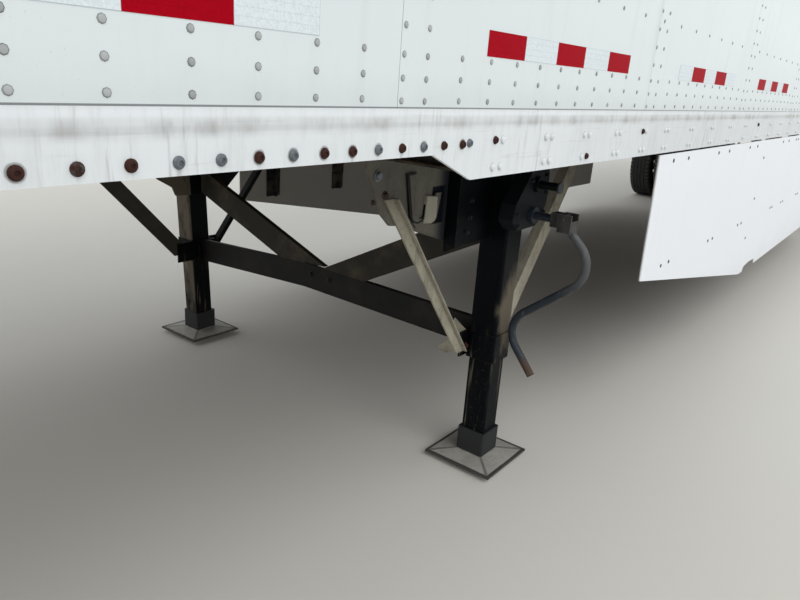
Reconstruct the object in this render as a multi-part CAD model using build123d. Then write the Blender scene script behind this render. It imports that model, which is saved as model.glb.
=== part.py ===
"""Dry van semi trailer standing on its landing gear.

Millimetres. +X points to the nose, +Y to the road side (the crank side), +Z up.
The origin lies on the ground under the middle of the trailer's overall box.
Places along the trailer are written as distances behind the nose and turned
into X by back(). Places across are written for the road side and mirrored.
"""
import math
import os

from build123d import *

# Overall sizes
LENGTH = 16154.0
WIDTH = 2591.0
HEIGHT = 4115.0
NOSE_REACH = 46.0
REAR_REACH = 80.0
HALF_WIDTH = WIDTH / 2
OVERALL = NOSE_REACH + LENGTH + REAR_REACH

# Bottom rail
RAIL_TOP = 1377.0
RAIL_SHALLOW_BOTTOM = 1289.5
RAIL_DEEP_BOTTOM = 1231.0
RAIL_THICK = 8.0
NOTCH_START = 2590.0
NOTCH_END = 2734.0
NOTCH_RADIUS = 60.0
FLANGE_TOP = 1492.0
FLANGE_THICK = 5.0

# Side walls
WALL_INSET = 4.0
WALL_THICK = 13.0
PANEL_PITCH = 1285.35
PANEL_JOINT = 2472.7
PANEL_GAP = 1.5
POST_THICK = 4.0
POST_BEFORE_JOINT = 16.0
POST_BEHIND_JOINT = 94.0
TOP_RAIL_DEPTH = 112.0
TOP_RAIL_BOTTOM = HEIGHT - TOP_RAIL_DEPTH
TOP_RAIL_SKIN = 4.0
ROOF_THICK = 3.0
ROOF_OVERLAP = 60.0
BOW_PITCH = 609.6
BOW_DEPTH = 26.0
BOW_WIDTH = 62.0
BOW_SKIN = 3.0

# Nose
CORNER_POST = 110.0
CORNER_RADIUS = 70.0
CORNER_SKIN = 12.0
CORNER_HOLLOW = CORNER_SKIN + 14.0
FRONT_WALL_INSET = 8.0
FRONT_WALL_THICK = 16.0
HEADER_DEPTH = 120.0

# Deck
DECK_THICK = 35.0
DECK_TOP = 1367.0
DECK_BOARDS = 8
BOARD_GAP = 2.0
BEAM_DEPTH = 101.0
BEAM_FLANGE = 57.0
BEAM_WEB = 6.0
BEAM_FLANGE_THICK = 6.0
CLOSE_BEAM_FIRST = 2838.5
CLOSE_BEAM_SECOND = 3085.0
CLOSE_BEAM_PITCH = 231.6
CLOSE_BEAMS = 5
BEAM_PITCH = 304.8
BEAM_REAR_ROOM = 64.0

# Upper coupler
KINGPIN_BEHIND = 914.0
COUPLER_UNDERSIDE = 1194.0
COUPLER_PLATE_THICK = 8.0
COUPLER_HALF_WIDTH = 620.0
COUPLER_FRONT = 60.0
COUPLER_REAR = 2330.0
COUPLER_BEAMS = (150.0, 420.0, 700.0, 1130.0, 1420.0, 1730.0, 2040.0, 2300.0)
COUPLER_BEAM_WEB = 8.0
COUPLER_TAPER = 260.0
PIN_NECK_RADIUS = 25.4
PIN_NECK_LENGTH = 36.0
PIN_SHOULDER_RADIUS = 36.5
PIN_SHOULDER_LENGTH = 27.5
PIN_FOOT_RADIUS = 35.7
PIN_FOOT_LENGTH = 19.0
PIN_SEAT_CLEARANCE = 0.2

# Landing gear
LEG_BEHIND = 3606.0
LEG_OUT = 907.0
LEG_TUBE = 112.0
LEG_TUBE_WALL = 5.0
LEG_TUBE_BOTTOM = 470.0
COLLAR = 120.0
COLLAR_BOTTOM = 437.0
COLLAR_HEIGHT = 108.0
INNER_LEG = 101.0
INNER_LEG_WALL = 6.0
INNER_LEG_TOP = 800.0
LEAN_ROOM = 10.0
SHOE_SIZE = 292.0
SHOE_BASE = 190.0
SHOE_EDGE = 19.0
SHOE_RIM = 8.0
SHOE_RIM_LEDGE = 12.0
SHOE_HEIGHT = 38.0
SHOE_NECK = 118.0
SHOE_SOCKET = 98.0
CROSS_BEAM_DEPTH = 114.0
CROSS_BEAM_FLANGE = 25.0
CROSS_BEAM_FORWARD = 23.0
CROSS_BEAM_SKIN = 6.0
CROSS_BEAM_LAP = 75.0
GUSSET_THICK = 8.0
GUSSET_OUT = LEG_OUT - COLLAR / 2
BEAM_END_OUT = GUSSET_OUT - GUSSET_THICK
BRACE_SKIN = 6.0
AFT_BRACE_END = 4304.0
HANGER_THICK = 8.0
HANGER_FACE = GUSSET_OUT - HANGER_THICK
HANGER_REAR = 3341.0
WINDOW_FRONT = 3240.0
WINDOW_REAR = 3312.0
WINDOW_FOOT = 985.0
WINDOW_HEAD = 1106.0
KNEE_WIDTH = 115.0
KNEE_FLANGE = 25.0
WING_THICK = 12.0
WING_REAR = 3980.0
WING_FRONT_FOOT = 878.0
WING_REAR_FOOT = 1000.0
WING_BOX_FRONT = 3326.0
WING_BOX_OUT = 895.0
WING_BOX_BOTTOM = 905.0

# Each side's bracing: Y sign, bottom of the cross beam at the collar and at its lap, middle height of the
# knee brace at the leg and its fall for each millimetre inwards, lean of the leg in degrees towards the
# nose, front edge of the gusset, and the foot of the wing plate as (distance behind nose, z)
LEG_SIDES = {
    "left": {"sign": 1, "beam_end": 468.0, "beam_lap": 479.0, "knee_top": 935.0, "knee_fall": 0.515,
             "lean": 0.0, "gusset_front": 3505.0, "wing_foot": ((3720.0, 905.0), (3850.0, 960.0))},
    "right": {"sign": -1, "beam_end": 431.0, "beam_lap": 485.0, "knee_top": 855.0, "knee_fall": 0.358,
              "lean": 2.4, "gusset_front": 3440.0,
              "wing_foot": ((3424.0, 830.0), (3441.0, 789.0), (3720.0, 778.0), (3850.0, 900.0))},
}
# Braces that run fore and aft: low and high middle point (distance behind nose, z), width, flange depth,
# face of the web nearest the trailer's middle
SLANT_BRACES = {
    "left": {
        "fore": {"low": (3499.0, 466.0), "high": (3022.0, 1088.0),
                 "width": 41.0, "flange": 20.0, "face": GUSSET_OUT},
        "aft": {"low": (3615.0, 461.0), "high": (4192.0, 1228.0),
                "width": 69.0, "flange": 40.0, "face": 917.0},
    },
    "right": {
        "fore": {"low": (3475.0, 480.0), "high": (2787.0, 1231.0),
                 "width": 74.0, "flange": 20.0, "face": GUSSET_OUT},
        "aft": {"low": (3712.0, 470.0), "high": (4320.0, 1231.0),
                "width": 50.0, "flange": 34.0, "face": 917.0},
    },
}

# Gear case and crank
SHAFT_Z = 1005.0
SHAFT_RADIUS = 14.0
SHAFT_HOLE_CLEARANCE = 2.0
GEARBOX_DEPTH = 55.0
GEARBOX_CORNER = 12.0
GEARBOX_OUTLINE = ((-135.0, -10.0), (-122.0, 46.0), (-42.0, 139.0), (-16.0, 185.0), (74.0, 185.0),
                   (98.0, 135.0), (102.0, 41.0), (82.0, -12.0), (36.0, -43.0), (-93.0, -47.0))
STUB_BEHIND = 10.0
STUB_Z = 1110.0
STUB_LENGTH = 90.0
STUB_WASHER = 20.0
CLEVIS_OUT = 1100.0
CLEVIS_LENGTH = 52.0
CLEVIS_WIDTH = 48.0
CLEVIS_CHEEK = 6.0
CRANK_TUBE = 29.0
CRANK_BEND = 98.0
CRANK_ROUTE = ((1152.0, 990.0), (1290.0, 851.5), (959.0, 586.0), (1098.5, 418.0))

# Side skirts
SKIRT_THICK = 7.0
SKIRT_INSET = 1.0
SKIRT_GAP = 8.0
SKIRT_SEAMS = (5870.0, 7820.0)
SKIRT_REAR = 9770.0
# The kerb side skirt hangs lower and starts further back; the road side one is torn along its foot
SKIRTS = {
    "left": {"sign": 1, "front_top": 3997.0, "front_foot": 4035.0, "front_foot_z": 744.0,
             "knee": 5937.0, "knee_z": 412.0, "foot_z": 410.0,
             "torn": ((6362.0, 410.0), (6345.0, 443.0), (6190.0, 451.0), (6052.0, 440.0), (6036.0, 411.0))},
    "right": {"sign": -1, "front_top": 4199.0, "front_foot": 4199.0, "front_foot_z": 620.0,
              "knee": 5937.0, "knee_z": 299.0, "foot_z": 286.0, "torn": ()},
}
STRUT_WIDTH = 110.0
STRUT_THICK = 8.0
STRUT_RIB = 30.0
STRUT_FOOT = 730.0
STRUT_LAP = 60.0

# Running gear
AXLES = {"front": 11600.0, "rear": 12845.0}
TYRE_RADIUS = 505.0
TYRE_WIDTH = 285.0
TYRE_BEAD_RADIUS = 288.0
DUAL_OUT = 984.0
DUAL_SPACING = 330.0
RIM_RADIUS = 287.5
RIM_LIP_RADIUS = 299.0
RIM_LIP = 8.0
RIM_SKIN = 9.0
TYRE_BEAD_INSET = 34.0
DISC_HOLE_RADIUS = 110.0
HAND_HOLES = 10
HAND_HOLE_CIRCLE = 236.0
HAND_HOLE_RADIUS = 22.0
HUB_RADIUS = 100.0
HUB_END_OUT = 1118.0
DRUM_RADIUS = 212.0
DRUM_INNER_OUT = 760.0
AXLE_RADIUS = 63.5
SPINDLE_RADIUS = 45.0
SPINDLE_CLEARANCE = 0.1
SPRING_OUT = 482.0
SPRING_WIDTH = 76.0
SPRING_HALF_LENGTH = 580.0
SPRING_SEAT = 130.0
SPRING_SEAT_RISE = 24.0
HANGER_CHEEK = 8.0
HANGER_CHEEK_GAP = 3.0
SPRING_HANGER_FOOT = 600.0
SLIDER_BOTTOM = 1095.0
SLIDER_WIDTH = 98.0
SLIDER_FRONT = 10800.0
SLIDER_REAR = 13650.0
CROSS_TUBE_OFF = 352.0

# Rear frame and doors
REAR_DEPTH = 110.0
REAR_POST = 52.0
SILL_TOP = DECK_TOP + 5.0
HEADER_DEPTH_REAR = 140.0
HEADER_BOTTOM = HEIGHT - HEADER_DEPTH_REAR
LEAF_THICK = 45.0
LEAF_GAP = 6.0
LEAF_PROUD = 6.0
HINGE_AXIS_OUT = HALF_WIDTH - 18.0
HINGE_AXIS_BEHIND = 42.0
HINGE_PIN_RADIUS = 8.0
HINGE_BARREL_RADIUS = 15.0
HINGE_RUN_CLEARANCE = 0.1
HINGE_HEIGHT = 60.0
HINGE_LUG = 10.0
HINGE_END_CLEARANCE = 0.8
HINGES = 5
ROD_RADIUS = 13.5
ROD_STANDOFF = 30.0
ROD_FROM_AXIS = (560.0, 1120.0)
ROD_REACH = 60.0
ROD_BRACKET_SPACING = 700.0
HANDLE_RISE = 268.0
HANDLE_HEIGHT = 32.0
HANDLE_LENGTH = 260.0
KEEPER_DEPTH = 16.0
KEEPER_WIDTH = 84.0
LAMP_DROP = 82.0
LAMP_RADIUS = 50.0
LAMP_PLACES = (470.0, 590.0)
MARKER_LIFT = 100.0
SIDE_MARKER_FRONT = 1500.0
SIDE_MARKER_BEFORE_TAIL = 354.0
SIDE_MARKER = (64.0, 20.0, 9.0)
SIDE_MARKER_Z = 1340.0
FLAP_FOOT = 300.0
FLAP_OVERHANG = 16.0

# Brakes, air tank
CHAMBER_RADIUS = 72.0
CHAMBER_BAND = 79.0
CHAMBER_LENGTH = 210.0
CHAMBER_OUT = 330.0
CHAMBER_RISE = 62.0
CHAMBER_BEHIND = 60.0
CAM_TUBE_RADIUS = 19.0
TANK_BEHIND = 10260.0
TANK_RADIUS = 115.0
TANK_LENGTH = 760.0
TANK_DROP = 132.0
TANK_STRAP = 45.0
TANK_STRAP_OUT = 250.0


def back(distance):
    """X of a place this far behind the nose."""
    return OVERALL / 2 - NOSE_REACH - distance


def block(x0, x1, y0, y1, z0, z1):
    """Box between two corners."""
    return Pos((x0 + x1) / 2, (y0 + y1) / 2, (z0 + z1) / 2) * Box(abs(x1 - x0), abs(y1 - y0), abs(z1 - z0))


def both(*solids):
    """The solids of the road side and their mirror images on the kerb side."""
    return list(solids) + [mirror(solid, Plane.XZ) for solid in solids]


def on_side(solid, row):
    """A solid made for the road side, on the side that the row names."""
    return solid if row["sign"] > 0 else mirror(solid, Plane.XZ)


def side_plate(outline, y_low, y_high):
    """Plate in the XZ plane, from (distance behind nose, z) points, between two Y."""
    points = [(back(distance), z) for distance, z in outline]
    face = make_face(Polyline(*points, close=True))
    return Pos(0, y_high, 0) * (Rot(90, 0, 0) * extrude(face, y_high - y_low))


def cross_plate(outline, x_low, x_high):
    """Plate in the YZ plane, from (y, z) points, between two X."""
    plane = Plane(origin=(x_low, 0, 0), x_dir=(0, 1, 0), z_dir=(1, 0, 0))
    return plane * extrude(make_face(Polyline(*outline, close=True)), x_high - x_low)


def cylinder_y(radius, x, y0, y1, z):
    """Round bar along Y."""
    return Pos(x, (y0 + y1) / 2, z) * Rot(90, 0, 0) * Cylinder(radius, abs(y1 - y0))


def cylinder_z(radius, x, y, z0, z1):
    """Round bar along Z."""
    return Pos(x, y, (z0 + z1) / 2) * Cylinder(radius, abs(z1 - z0))


def panel_joints():
    """Distances behind the nose of the joints between the side wall panels."""
    places = []
    place = PANEL_JOINT - PANEL_PITCH
    while place < LENGTH - REAR_DEPTH - 200:
        places.append(place)
        place += PANEL_PITCH
    return places


def wall_panels():
    """Outer panels of one side wall, one solid per panel."""
    y_out = HALF_WIDTH - WALL_INSET
    edges = [CORNER_POST] + panel_joints() + [LENGTH - REAR_DEPTH]
    panels = []
    for start, end in zip(edges[:-1], edges[1:]):
        panels.append(block(back(start + PANEL_GAP / 2), back(end - PANEL_GAP / 2),
                            y_out - WALL_THICK, y_out, RAIL_TOP, HEIGHT - 20))
    return panels


def wall_posts():
    """Splice posts behind the panel joints of one wall."""
    y_out = HALF_WIDTH - WALL_INSET - WALL_THICK
    return [block(back(place - POST_BEFORE_JOINT), back(place + POST_BEHIND_JOINT),
                  y_out - POST_THICK, y_out, FLANGE_TOP, TOP_RAIL_BOTTOM)
            for place in panel_joints()]


def bottom_rail():
    """Bottom rail of one side: notched web, ledge and the flange behind the wall."""
    front = CORNER_POST
    rear = LENGTH - REAR_DEPTH
    outline = [(front, RAIL_TOP), (rear, RAIL_TOP), (rear, RAIL_DEEP_BOTTOM), (NOTCH_END, RAIL_DEEP_BOTTOM),
               (NOTCH_START, RAIL_SHALLOW_BOTTOM), (front, RAIL_SHALLOW_BOTTOM)]
    web = side_plate(outline, HALF_WIDTH - RAIL_THICK, HALF_WIDTH)
    y_flange = HALF_WIDTH - WALL_INSET - WALL_THICK
    ledge = block(back(front), back(rear), y_flange - FLANGE_THICK, HALF_WIDTH - RAIL_THICK,
                  RAIL_TOP - RAIL_THICK, RAIL_TOP)
    flange = block(back(front), back(rear), y_flange - FLANGE_THICK, y_flange, RAIL_TOP, FLANGE_TOP)
    return web + ledge + flange


def top_rail():
    """Top rail of one side, an upside down channel that holds the wall."""
    x0 = back(CORNER_POST)
    x1 = back(LENGTH - REAR_DEPTH)
    y_wall = HALF_WIDTH - WALL_INSET
    y_inner = y_wall - WALL_THICK
    top = HEIGHT - ROOF_THICK
    outer = block(x0, x1, y_wall, HALF_WIDTH, TOP_RAIL_BOTTOM, top)
    inner = block(x0, x1, y_inner - TOP_RAIL_SKIN, y_inner, TOP_RAIL_BOTTOM, top)
    cap = block(x0, x1, y_inner - ROOF_OVERLAP, HALF_WIDTH, HEIGHT - 20, top)
    return outer + inner + cap


def roof_bows():
    """Top hat bows across under the roof sheet."""
    reach = HALF_WIDTH - WALL_INSET - WALL_THICK - ROOF_OVERLAP
    top = HEIGHT - ROOF_THICK
    bows = []
    place = BOW_PITCH
    while place < LENGTH - REAR_DEPTH - 100:
        x = back(place)
        bow = block(x - BOW_WIDTH / 2, x + BOW_WIDTH / 2, -reach, reach, top - BOW_DEPTH, top)
        bow -= block(x - BOW_WIDTH / 2 + BOW_SKIN, x + BOW_WIDTH / 2 - BOW_SKIN, -reach, reach,
                     top - BOW_DEPTH + BOW_SKIN, top)
        bows.append(bow)
        place += BOW_PITCH
    return bows


def front_frame():
    """Rounded corner posts, header and sill of the nose, as one welded frame."""
    square = block(back(0), back(CORNER_POST), HALF_WIDTH - CORNER_POST, HALF_WIDTH,
                   RAIL_SHALLOW_BOTTOM, HEIGHT)
    edge = square.edges().filter_by(Axis.Z).sort_by(lambda e: e.center().X + e.center().Y)[-1]
    post = fillet(edge, CORNER_RADIUS)
    inner = block(back(CORNER_HOLLOW), back(CORNER_POST), HALF_WIDTH - CORNER_POST, HALF_WIDTH - CORNER_HOLLOW,
                  RAIL_SHALLOW_BOTTOM, HEIGHT)
    inner_edge = inner.edges().filter_by(Axis.Z).sort_by(lambda e: e.center().X + e.center().Y)[-1]
    post = post - fillet(inner_edge, CORNER_RADIUS - CORNER_SKIN)
    other = mirror(post, Plane.XZ)
    header = block(back(0), back(CORNER_POST), CORNER_POST - HALF_WIDTH, HALF_WIDTH - CORNER_POST,
                   HEIGHT - HEADER_DEPTH, HEIGHT)
    sill = block(back(0), back(28), CORNER_POST - HALF_WIDTH, HALF_WIDTH - CORNER_POST,
                 COUPLER_UNDERSIDE, FLANGE_TOP)
    ledge = block(back(0), back(CORNER_POST), CORNER_POST - HALF_WIDTH, HALF_WIDTH - CORNER_POST,
                  RAIL_SHALLOW_BOTTOM, DECK_TOP)
    return post + other + header + sill + ledge


def front_wall():
    """Flat wall of the nose between the corner posts."""
    reach = HALF_WIDTH - CORNER_POST
    x0 = back(FRONT_WALL_INSET)
    x1 = back(FRONT_WALL_INSET + FRONT_WALL_THICK)
    third = reach / 3
    return [block(x0, x1, low + PANEL_GAP / 2, high - PANEL_GAP / 2, FLANGE_TOP, HEIGHT - HEADER_DEPTH)
            for low, high in ((-reach, -third), (-third, third), (third, reach))]


def deck():
    """Hardwood floor boards."""
    reach = HALF_WIDTH - WALL_INSET - WALL_THICK - FLANGE_THICK
    width = 2 * reach / DECK_BOARDS
    return [block(back(CORNER_POST), back(LENGTH - REAR_DEPTH),
                  -reach + n * width + BOARD_GAP / 2, -reach + (n + 1) * width - BOARD_GAP / 2,
                  DECK_TOP - DECK_THICK, DECK_TOP) for n in range(DECK_BOARDS)]


def cross_beam_places():
    """Distances behind the nose of the deck's cross beams."""
    places = [CLOSE_BEAM_FIRST] + [CLOSE_BEAM_SECOND + n * CLOSE_BEAM_PITCH for n in range(CLOSE_BEAMS)]
    while places[-1] + BEAM_PITCH < LENGTH - REAR_DEPTH - BEAM_REAR_ROOM:
        places.append(places[-1] + BEAM_PITCH)
    return places


def cross_beams():
    """I beams under the deck, from rail to rail."""
    top = DECK_TOP - DECK_THICK
    reach = HALF_WIDTH - RAIL_THICK
    beams = []
    for place in cross_beam_places():
        x = back(place)
        web = block(x - BEAM_WEB / 2, x + BEAM_WEB / 2, -reach, reach, top - BEAM_DEPTH, top)
        upper = block(x - BEAM_FLANGE / 2, x + BEAM_FLANGE / 2, -reach, reach, top - BEAM_FLANGE_THICK, top)
        lower = block(x - BEAM_FLANGE / 2, x + BEAM_FLANGE / 2, -reach, reach,
                      top - BEAM_DEPTH, top - BEAM_DEPTH + BEAM_FLANGE_THICK)
        beams.append(web + upper + lower)
    return beams


def coupler_frame():
    """Cross webs above the coupler plate, tapered to the shallow rail."""
    top = DECK_TOP - DECK_THICK
    low = COUPLER_UNDERSIDE + COUPLER_PLATE_THICK
    reach = HALF_WIDTH - RAIL_THICK
    edge = COUPLER_HALF_WIDTH + COUPLER_TAPER
    outline = [(-reach, top), (-reach, RAIL_SHALLOW_BOTTOM), (-edge, RAIL_SHALLOW_BOTTOM),
               (-COUPLER_HALF_WIDTH, low), (COUPLER_HALF_WIDTH, low), (edge, RAIL_SHALLOW_BOTTOM),
               (reach, RAIL_SHALLOW_BOTTOM), (reach, top)]
    webs = []
    for place in COUPLER_BEAMS:
        x = back(place)
        web = cross_plate(outline, x - COUPLER_BEAM_WEB / 2, x + COUPLER_BEAM_WEB / 2)
        cap = block(x - BEAM_FLANGE / 2, x + BEAM_FLANGE / 2, -reach, reach, top - BEAM_FLANGE_THICK, top)
        webs.append(web + cap)
    return webs


def coupler_plate():
    """Plate that rests on the towing vehicle, bored for the kingpin."""
    plate = block(back(COUPLER_FRONT), back(COUPLER_REAR), -COUPLER_HALF_WIDTH, COUPLER_HALF_WIDTH,
                  COUPLER_UNDERSIDE, COUPLER_UNDERSIDE + COUPLER_PLATE_THICK)
    return plate - cylinder_z(PIN_SHOULDER_RADIUS + PIN_SEAT_CLEARANCE, back(KINGPIN_BEHIND), 0,
                              COUPLER_UNDERSIDE - 1, COUPLER_UNDERSIDE + COUPLER_PLATE_THICK + 1)


def kingpin():
    """Kingpin with its shoulder, neck and foot flange."""
    x = back(KINGPIN_BEHIND)
    top = COUPLER_UNDERSIDE + COUPLER_PLATE_THICK
    shoulder_low = COUPLER_UNDERSIDE - PIN_SHOULDER_LENGTH
    neck_low = shoulder_low - PIN_NECK_LENGTH
    head = cylinder_z(2 * PIN_SHOULDER_RADIUS, x, 0, top, top + 20)
    shoulder = cylinder_z(PIN_SHOULDER_RADIUS, x, 0, shoulder_low, top)
    neck = cylinder_z(PIN_NECK_RADIUS, x, 0, neck_low, shoulder_low)
    foot = cylinder_z(PIN_FOOT_RADIUS, x, 0, neck_low - PIN_FOOT_LENGTH, neck_low)
    return head + shoulder + neck + foot


def connectors():
    """Air and electric connectors on the nose sill."""
    z = 1395.0
    pieces = []
    for y in (-330.0, 330.0):
        base = block(back(0), back(-14), y - 34, y + 34, z - 34, z + 34)
        head = Pos(back(-27), y, z) * Rot(0, 90, 0) * Cylinder(29, 26)
        pieces.append(base + head)
    socket = block(back(0), back(-12), -46, 46, z - 42, z + 42)
    socket += Pos(back(-29), 0, z) * Rot(0, 90, 0) * Cylinder(36, 34)
    pieces.append(socket)
    return pieces


def square_tube(size, wall, x, y, z0, z1):
    """Upright square tube with rounded corners."""
    outer = extrude(RectangleRounded(size, size, wall * 2), z1 - z0)
    inner = extrude(RectangleRounded(size - 2 * wall, size - 2 * wall, wall), z1 - z0)
    return Pos(x, y, z0) * (outer - inner)


def wing_plate(row):
    """Plate on the leg's inner face, from the hanger plate back, cut away below, for the road side."""
    top = DECK_TOP - DECK_THICK - BEAM_DEPTH
    inner_face = LEG_OUT - LEG_TUBE / 2
    outline = [(HANGER_REAR, top), (HANGER_REAR, WING_FRONT_FOOT), *row["wing_foot"],
               (WING_REAR, WING_REAR_FOOT), (WING_REAR, top)]
    plate = side_plate(outline, inner_face - WING_THICK, inner_face)
    plate -= cylinder_y(SHAFT_RADIUS + SHAFT_HOLE_CLEARANCE, back(LEG_BEHIND + STUB_BEHIND),
                        inner_face - WING_THICK - 1, inner_face + 1, STUB_Z)
    box = block(back(WING_BOX_FRONT), back(LEG_BEHIND - LEG_TUBE / 2), inner_face, WING_BOX_OUT,
                WING_BOX_BOTTOM, top)
    box -= block(back(WING_BOX_FRONT + BRACE_SKIN), back(LEG_BEHIND), inner_face - 1, WING_BOX_OUT - BRACE_SKIN,
                 WING_BOX_BOTTOM - 1, top)
    shelf = block(back(WING_BOX_FRONT), back(HANGER_REAR + 4), GUSSET_OUT, inner_face, WING_BOX_BOTTOM, top)
    return plate + box + shelf


def leaning(solid, row):
    """A leg solid turned about the foot of its leg, its top towards the nose."""
    foot = Pos(back(LEG_BEHIND), LEG_OUT, SHOE_HEIGHT)
    return foot * Rot(0, row["lean"], 0) * foot.inverse() * solid


def leg_tube(row):
    """Outer tube of a leg with its collar, gusset, wing plate and box, for the road side."""
    x = back(LEG_BEHIND)
    top = DECK_TOP - DECK_THICK - BEAM_DEPTH
    bore = INNER_LEG + 1.0
    collar = extrude(RectangleRounded(COLLAR, COLLAR, 8) - Rectangle(bore, bore), COLLAR_HEIGHT)
    tube = square_tube(LEG_TUBE, LEG_TUBE_WALL, x, LEG_OUT, LEG_TUBE_BOTTOM, top + LEAN_ROOM)
    tube = leaning(tube + Pos(x, LEG_OUT, COLLAR_BOTTOM) * collar, row)
    tube -= block(x - LEG_TUBE, x + LEG_TUBE, LEG_OUT - LEG_TUBE, LEG_OUT + LEG_TUBE, top, top + 2 * LEAN_ROOM)
    gusset = block(back(row["gusset_front"]), back(LEG_BEHIND + COLLAR / 2), BEAM_END_OUT, GUSSET_OUT,
                   COLLAR_BOTTOM + 6, COLLAR_BOTTOM + COLLAR_HEIGHT - 4)
    return tube + gusset + wing_plate(row)


def inner_leg(row):
    """Inner leg that slides in the outer tube, for the road side."""
    x = back(LEG_BEHIND)
    leg = square_tube(INNER_LEG, INNER_LEG_WALL, x, LEG_OUT, SHOE_HEIGHT - LEAN_ROOM, INNER_LEG_TOP)
    return leaning(leg, row) - block(x - LEG_TUBE, x + LEG_TUBE, LEG_OUT - LEG_TUBE, LEG_OUT + LEG_TUBE,
                                     SHOE_HEIGHT - 2 * LEAN_ROOM, SHOE_HEIGHT)


def sand_shoe(row):
    """Pressed foot with edges turned up, four sloping faces and a socket round the leg."""
    edge_top = SHOE_EDGE + SHOE_RIM
    under = loft([Rectangle(SHOE_BASE, SHOE_BASE), Pos(0, 0, SHOE_EDGE) * Rectangle(SHOE_SIZE, SHOE_SIZE)])
    rim = Pos(0, 0, SHOE_EDGE) * extrude(Rectangle(SHOE_SIZE, SHOE_SIZE), SHOE_RIM)
    ledge = SHOE_SIZE - 2 * SHOE_RIM_LEDGE
    neck = Pos(0, 0, SHOE_HEIGHT) * Rectangle(SHOE_NECK, SHOE_NECK)
    slope = loft([Pos(0, 0, edge_top) * Rectangle(ledge, ledge), neck])
    socket = Pos(0, 0, SHOE_HEIGHT) * extrude(RectangleRounded(SHOE_NECK, SHOE_NECK, 8), SHOE_SOCKET)
    shoe = Pos(back(LEG_BEHIND), LEG_OUT, 0) * (under + rim + slope + socket)
    x = back(LEG_BEHIND)
    hole = leaning(block(x - INNER_LEG / 2, x + INNER_LEG / 2, LEG_OUT - INNER_LEG / 2, LEG_OUT + INNER_LEG / 2,
                         SHOE_HEIGHT - LEAN_ROOM, SHOE_HEIGHT + 2 * SHOE_SOCKET), row)
    hole -= block(x - LEG_TUBE, x + LEG_TUBE, LEG_OUT - LEG_TUBE, LEG_OUT + LEG_TUBE,
                  SHOE_HEIGHT - 2 * LEAN_ROOM, SHOE_HEIGHT)
    return shoe - hole


def beam_bottom(row, out):
    """Bottom of one half of the cross beam, this far out from the trailer's middle."""
    rise = (row["beam_lap"] - row["beam_end"]) / (BEAM_END_OUT + CROSS_BEAM_LAP)
    return row["beam_end"] + rise * (BEAM_END_OUT - out)


def cross_beam_half(row):
    """Half of the beam between the legs, a channel that rises to the middle and laps the other half there."""
    sign = row["sign"]
    x_face = back(LEG_BEHIND) + CROSS_BEAM_FORWARD
    shift = 0.0 if sign > 0 else -CROSS_BEAM_SKIN
    low0 = beam_bottom(row, BEAM_END_OUT)
    low1 = beam_bottom(row, -CROSS_BEAM_LAP)
    y0 = sign * BEAM_END_OUT
    y1 = -sign * CROSS_BEAM_LAP
    web = cross_plate([(y0, low0), (y1, low1), (y1, low1 + CROSS_BEAM_DEPTH), (y0, low0 + CROSS_BEAM_DEPTH)],
                      x_face - CROSS_BEAM_SKIN + shift, x_face + shift)
    low2 = beam_bottom(row, CROSS_BEAM_LAP)
    y2 = sign * CROSS_BEAM_LAP
    flange = cross_plate([(y0, low0), (y2, low2), (y2, low2 + CROSS_BEAM_SKIN), (y0, low0 + CROSS_BEAM_SKIN)],
                         x_face - CROSS_BEAM_FLANGE, x_face - CROSS_BEAM_SKIN + shift)
    half = web + flange + Pos(0, 0, CROSS_BEAM_DEPTH - CROSS_BEAM_SKIN) * flange
    other = LEG_SIDES["right" if sign > 0 else "left"]
    top0 = beam_bottom(other, 0) + CROSS_BEAM_DEPTH
    top1 = beam_bottom(other, CROSS_BEAM_LAP) + CROSS_BEAM_DEPTH
    return half - cross_plate([(0, top0), (y1, top1), (y1, top1 + CROSS_BEAM_DEPTH), (0, top0 + CROSS_BEAM_DEPTH)],
                              x_face - CROSS_BEAM_FLANGE, x_face + CROSS_BEAM_SKIN)


def knee_brace(row):
    """Angle section from the wing plate down to the top of the cross beam."""
    sign = row["sign"]
    fall = row["knee_fall"]
    stretch = math.sqrt(1 + fall * fall)
    x_face = back(LEG_BEHIND) + CROSS_BEAM_FORWARD - (0.0 if sign > 0 else CROSS_BEAM_SKIN)
    start = LEG_OUT - LEG_TUBE / 2 - WING_THICK
    seat = beam_bottom(row, start) + CROSS_BEAM_DEPTH
    seat_rise = (beam_bottom(row, 0) - beam_bottom(row, start)) / start

    def foot(height):
        """Where a line that leaves the leg at this height meets the beam."""
        run = (height - seat) / (fall + seat_rise)
        return sign * (start - run), height - fall * run

    upper = row["knee_top"] + KNEE_WIDTH / 2 * stretch
    lower = row["knee_top"] - KNEE_WIDTH / 2 * stretch
    under = upper - BRACE_SKIN * stretch
    y0 = sign * start
    web = cross_plate([(y0, upper), foot(upper), foot(lower), (y0, lower)], x_face - BRACE_SKIN, x_face)
    flange = cross_plate([(y0, upper), foot(upper), foot(under), (y0, under)], x_face - KNEE_FLANGE, x_face)
    return web + flange


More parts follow.
